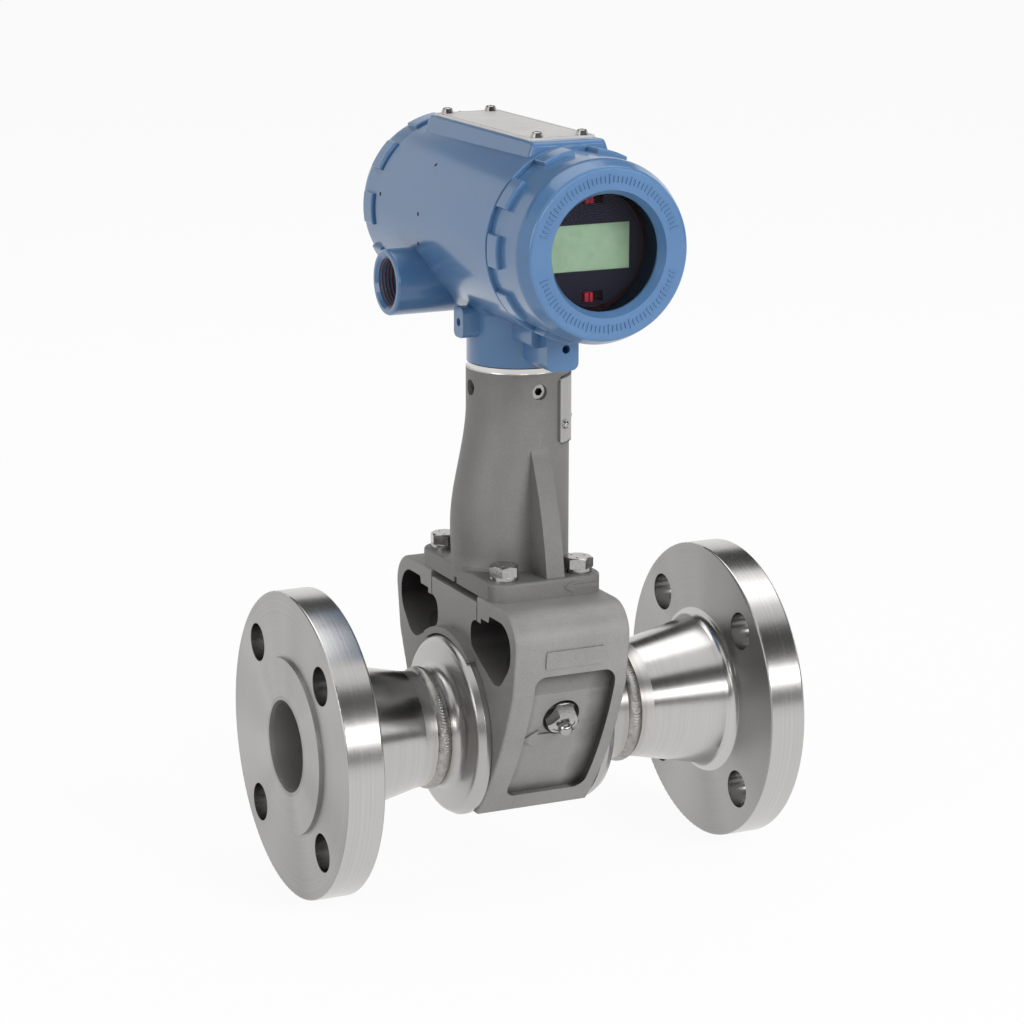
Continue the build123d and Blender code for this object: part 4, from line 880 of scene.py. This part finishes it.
# %% [markdown]
# Around the window the cover has a plain grip scale: short raised bars in two arcs, with a longer bar at
# every fifth place. One bar is made as a low block with sloped sides.

# %% One bar of the cover scale
bar_length, bar_width, bar_height, bar_draft = 0.0026, 0.0007, 0.00055, 0.00012


def bar_mesh():
    """A low bar with sloped sides, lying along X on the XY plane."""
    foot_x, foot_y = bar_length / 2, bar_width / 2
    top_x, top_y = foot_x - bar_draft, foot_y - bar_draft
    points = [(-foot_x, -foot_y, 0), (foot_x, -foot_y, 0), (foot_x, foot_y, 0), (-foot_x, foot_y, 0),
              (-top_x, -top_y, bar_height), (top_x, -top_y, bar_height),
              (top_x, top_y, bar_height), (-top_x, top_y, bar_height)]
    sides = [(0, 3, 2, 1), (4, 5, 6, 7), (0, 1, 5, 4), (1, 2, 6, 5), (2, 3, 7, 6), (3, 0, 4, 7)]
    mesh = bpy.data.meshes.new("bar_seed")
    mesh.from_pydata(points, [], sides)
    return mesh


bar_seed = show(bpy.data.objects.new("bar_seed", bar_mesh()))
print("the bar has", len(bar_seed.data.polygons), "faces")

# %% [markdown]
# The bars are instances on the points of an arc. The angle of each point about the ring's middle turns its
# bar square to the ring.

# %% Cover scale recipe
places_per_long_bar, longer = 5.0, 0.45


def scale_recipe(bar):
    sheet = Recipe("scale of bars", radius=0.029, start=0.35, sweep=2.4, bars=30)
    arc = sheet.add("GeometryNodeCurveArc", {"mode": "RADIUS"}, {
        "Resolution": 64, "Radius": sheet["radius"],
        "Start Angle": sheet["start"], "Sweep Angle": sheet["sweep"]})
    spots = sheet.add("GeometryNodeCurveToPoints", {"mode": "COUNT"},
                      {"Curve": arc, "Count": sheet["bars"]}, "Points")
    index = sheet.add("GeometryNodeInputIndex")
    stretch = ((index / places_per_long_bar).do("FRACT") < 0.1) * longer + 1.0
    x, y, _ = sheet.split(sheet.add("GeometryNodeInputPosition"))
    piece = sheet.add("GeometryNodeObjectInfo", None, {0: bar}, "Geometry")
    marks = sheet.add("GeometryNodeInstanceOnPoints", None, {
        "Points": spots, "Instance": piece,
        "Rotation": sheet.vector(0.0, 0.0, y.do("ARCTAN2", x)),
        "Scale": sheet.vector(stretch, 1.0, 1.0)})
    return sheet.serve(marks, False)


scale_marks = scale_recipe(bar_seed)
print("inputs", list(scale_marks.labels))

# %% [markdown]
# The two arcs lie on the cover's face, above and below the window, half a turn apart. The bar is
# no longer needed after that.

# %% Grow the cover scale
cover_face_away = 0.0307
first_bar, arc_sweep, arc_bars = 0.3, 2.54, 41
cover_face = Matrix.Translation((mid_x, cover_front_y - cover_face_away, barrel_z))
for name, first in (("upper", first_bar), ("lower", first_bar + math.pi)):
    marks = scale_marks.grow(f"cover_scale_{name}", finishes["blue_paint"],
                             start=first, sweep=arc_sweep, bars=arc_bars)
    move_points(marks.data, cover_face @ along_y)
    settle(marks, "front_cap", "blue_paint")
bpy.data.objects.remove(bar_seed)

# %% [markdown]
# Bolt heads are forged with small raised dots. A dome mesh is placed on the corners of a triangle, and the
# triangle on the four corners of the bolt pattern, all by instances.

# %% Head marks on the base plate bolts
bolts_mid_x = mid_x - 0.0033


def head_mark_recipe():
    sheet = Recipe("head marks", span_x=0.0332, span_y=0.0588, circle=0.0031, dot=0.00055, flat=0.35)
    corners = sheet.add("GeometryNodeMeshGrid", None, {0: sheet["span_x"], 1: sheet["span_y"], 2: 2, 3: 2})
    ball = sheet.add("GeometryNodeMeshUVSphere", None, {0: 10, 1: 6, 2: sheet["dot"]})
    flattened = {0: ball, "Scale": sheet.vector(1.0, 1.0, sheet["flat"])}
    dome = sheet.add("GeometryNodeTransform", None, flattened)
    trio = sheet.add("GeometryNodeMeshCircle", None, {0: 3, 1: sheet["circle"]})
    trio = sheet.add("GeometryNodeInstanceOnPoints", None, {"Points": trio, "Instance": dome})
    marks = sheet.add("GeometryNodeInstanceOnPoints", None, {"Points": corners, "Instance": trio})
    return sheet.serve(marks)


bolts_top_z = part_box("plate_bolts")[1].z
marks = head_mark_recipe().grow("bolt_head_marks", finishes["bright_fastener"])
move_points(marks.data, Matrix.Translation((bolts_mid_x, 0, bolts_top_z)))
settle(marks, "meter", "bright_fastener")

# %% [markdown]
# The studio has a white floor and a white surround, and the lamps are large and soft. Light Path tells how
# a ray reached a surface: the camera, mirrors and glass see the floor as nearly plain white, while the
# light that falls on the meter comes from the lamps. What is left of the floor's own shading keeps the
# shadow.

# %% Floor
reach = 9.0
white = (1, 1, 1, 1)


def white_to_eyes(writer, share):
    """How much of a ray sees plain white: the share for camera, mirror and glass rays, otherwise none."""
    names = ("Is Camera Ray", "Is Glossy Ray", "Is Transmission Ray")
    seen = [writer.add("ShaderNodeLightPath", None, None, name) for name in names]
    return seen[0].do("MAXIMUM", seen[1]).do("MAXIMUM", seen[2]) * share


def stage_material(name, colour, share):
    material = bpy.data.materials.new(name)
    material.use_nodes = True
    writer = Writer(material.node_tree)
    writer.tree.nodes.clear()
    matt = writer.add("ShaderNodeBsdfDiffuse", None, {0: with_alpha(colour)})
    glow = writer.add("ShaderNodeEmission", None, {0: white, 1: 1.0})
    mixed = writer.add("ShaderNodeMixShader", None, {0: white_to_eyes(writer, share), 1: matt, 2: glow})
    writer.close("ShaderNodeOutputMaterial", mixed)
    return material


def stage_card(name, corners, faces, material):
    mesh = bpy.data.meshes.new(name)
    mesh.from_pydata(corners, [], faces)
    mesh.materials.append(material)
    card = show(bpy.data.objects.new(name, mesh))
    return card


plan = ((-reach, -reach), (reach, -reach), (reach, reach), (-reach, reach))
stage_card("studio_floor", [(x, y, floor_z) for x, y in plan], [(0, 1, 2, 3)],
           stage_material("white floor", (0.8, 0.8, 0.8), 0.93))
print("floor at", floor_z)

# %% [markdown]
# Polished metal shows what stands around it. In an all white room it would look like paper, so
# photographers hang black cloths beside the lamps. Each cloth here is a curved band about the meter, given
# by two heights and two compass angles seen from it. Only mirror rays see the bands, so they darken no
# other surface.

# %% Black bands for the reflections
black = Finish("black cloth", Base_Color=(0.03, 0.03, 0.03), Roughness=0.9).material
band_distance = 2.6
band_steps = 24


def seen_from_meter(turn, rise):
    """A point at a compass angle from the front and an angle above the pipe, both in degrees."""
    turn, rise = math.radians(turn), math.radians(rise)
    out = Vector((math.sin(turn) * math.cos(rise), -math.cos(turn) * math.cos(rise), math.sin(rise)))
    return Vector((mid_x, 0, 0)) + out * band_distance


def black_band(name, turn_from, turn_until, rise_from, rise_until):
    corners, faces = [], []
    for step in range(band_steps + 1):
        turn = turn_from + (turn_until - turn_from) * step / band_steps
        corners += [seen_from_meter(turn, rise_from), seen_from_meter(turn, rise_until)]
        if step:
            faces.append((2 * step - 2, 2 * step, 2 * step + 1, 2 * step - 1))
    band = stage_card(name, corners, faces, black)
    band.visible_camera = band.visible_diffuse = band.visible_shadow = band.visible_transmission = False
    print(name, "from", turn_from, "to", turn_until, "degrees")


black_band("cloth_front_low", -70, 120, -1.0, 11.0)
black_band("cloth_front_high", -60, 120, 25.0, 50.0)
black_band("cloth_rear", 110, 250, 28.0, 60.0)

# %% [markdown]
# A softly lit room lifts every shadow, so the world gives some even light, and it is plain white to the
# camera, mirrors and glass. A large square key lamp shapes the meter from the front and shows in no mirror.
# A long strip draws the highlights, and a side and a top lamp fill what they leave.

# %% World and lamps
ambient = 0.42
world = bpy.data.worlds.new("studio")
bpy.context.scene.world = world
world.use_nodes = True
sky = Writer(world.node_tree)
sky.tree.nodes.clear()
level = white_to_eyes(sky, 1.0 - ambient) + ambient
sky.close("ShaderNodeOutputWorld", sky.add("ShaderNodeBackground", None, {0: white, 1: level}))
heart = (mid_x, 0, 0.1)


def soft_lamp(name, place, size, power):
    """A rectangular lamp that looks at the heart of the meter."""
    lamp = bpy.data.lights.new(name, "AREA")
    lamp.shape = "RECTANGLE"
    lamp.size, lamp.size_y = size
    lamp.energy = power
    holder = show(bpy.data.objects.new(name, lamp))
    holder.location = place
    holder.rotation_euler = (Vector(heart) - Vector(place)).to_track_quat("-Z", "Y").to_euler()
    return holder


soft_lamp("key", (0.7, -2.0, 1.25), (1.1, 1.1), 36).visible_glossy = False
soft_lamp("strip", (0.3, -2.2, 0.75), (2.6, 0.3), 14)
soft_lamp("side", (-2.0, -0.6, 0.7), (0.9, 0.9), 9)
soft_lamp("top", (0.2, 0.5, 1.9), (2.3, 1.3), 13)
print("four lamps")

# %% [markdown]
# The camera stands to the left of the display and a little above it. Its lens and place come from matching
# the outlines of both flanges and of the barrel in the photograph. Its angles are in radians: the azimuth
# from straight ahead, the elevation of its look, and a slight roll.

# %% Camera
camera_place = (-0.65751, -1.18147, 0.41051)
azimuth, elevation, roll = 0.43735, -0.2426, 0.00118
lens, sensor_width = 114.222, 36.0
nearest, farthest = 0.05, 40.0

data = bpy.data.cameras.new("camera")
data.lens, data.sensor_width = lens, sensor_width
data.clip_start, data.clip_end = nearest, farthest
camera = show(bpy.data.objects.new("camera", data))
look = Vector((math.sin(azimuth) * math.cos(elevation), math.cos(azimuth) * math.cos(elevation),
               math.sin(elevation)))
facing = look.to_track_quat("-Z", "Y").to_matrix().to_4x4()
camera.matrix_world = Matrix.Translation(camera_place) @ facing @ Matrix.Rotation(roll, 4, "Z")
bpy.context.scene.camera = camera
bpy.context.scene.view_settings.view_transform = "Standard"
print("camera at", [round(v, 3) for v in camera.location], "lens", camera.data.lens)
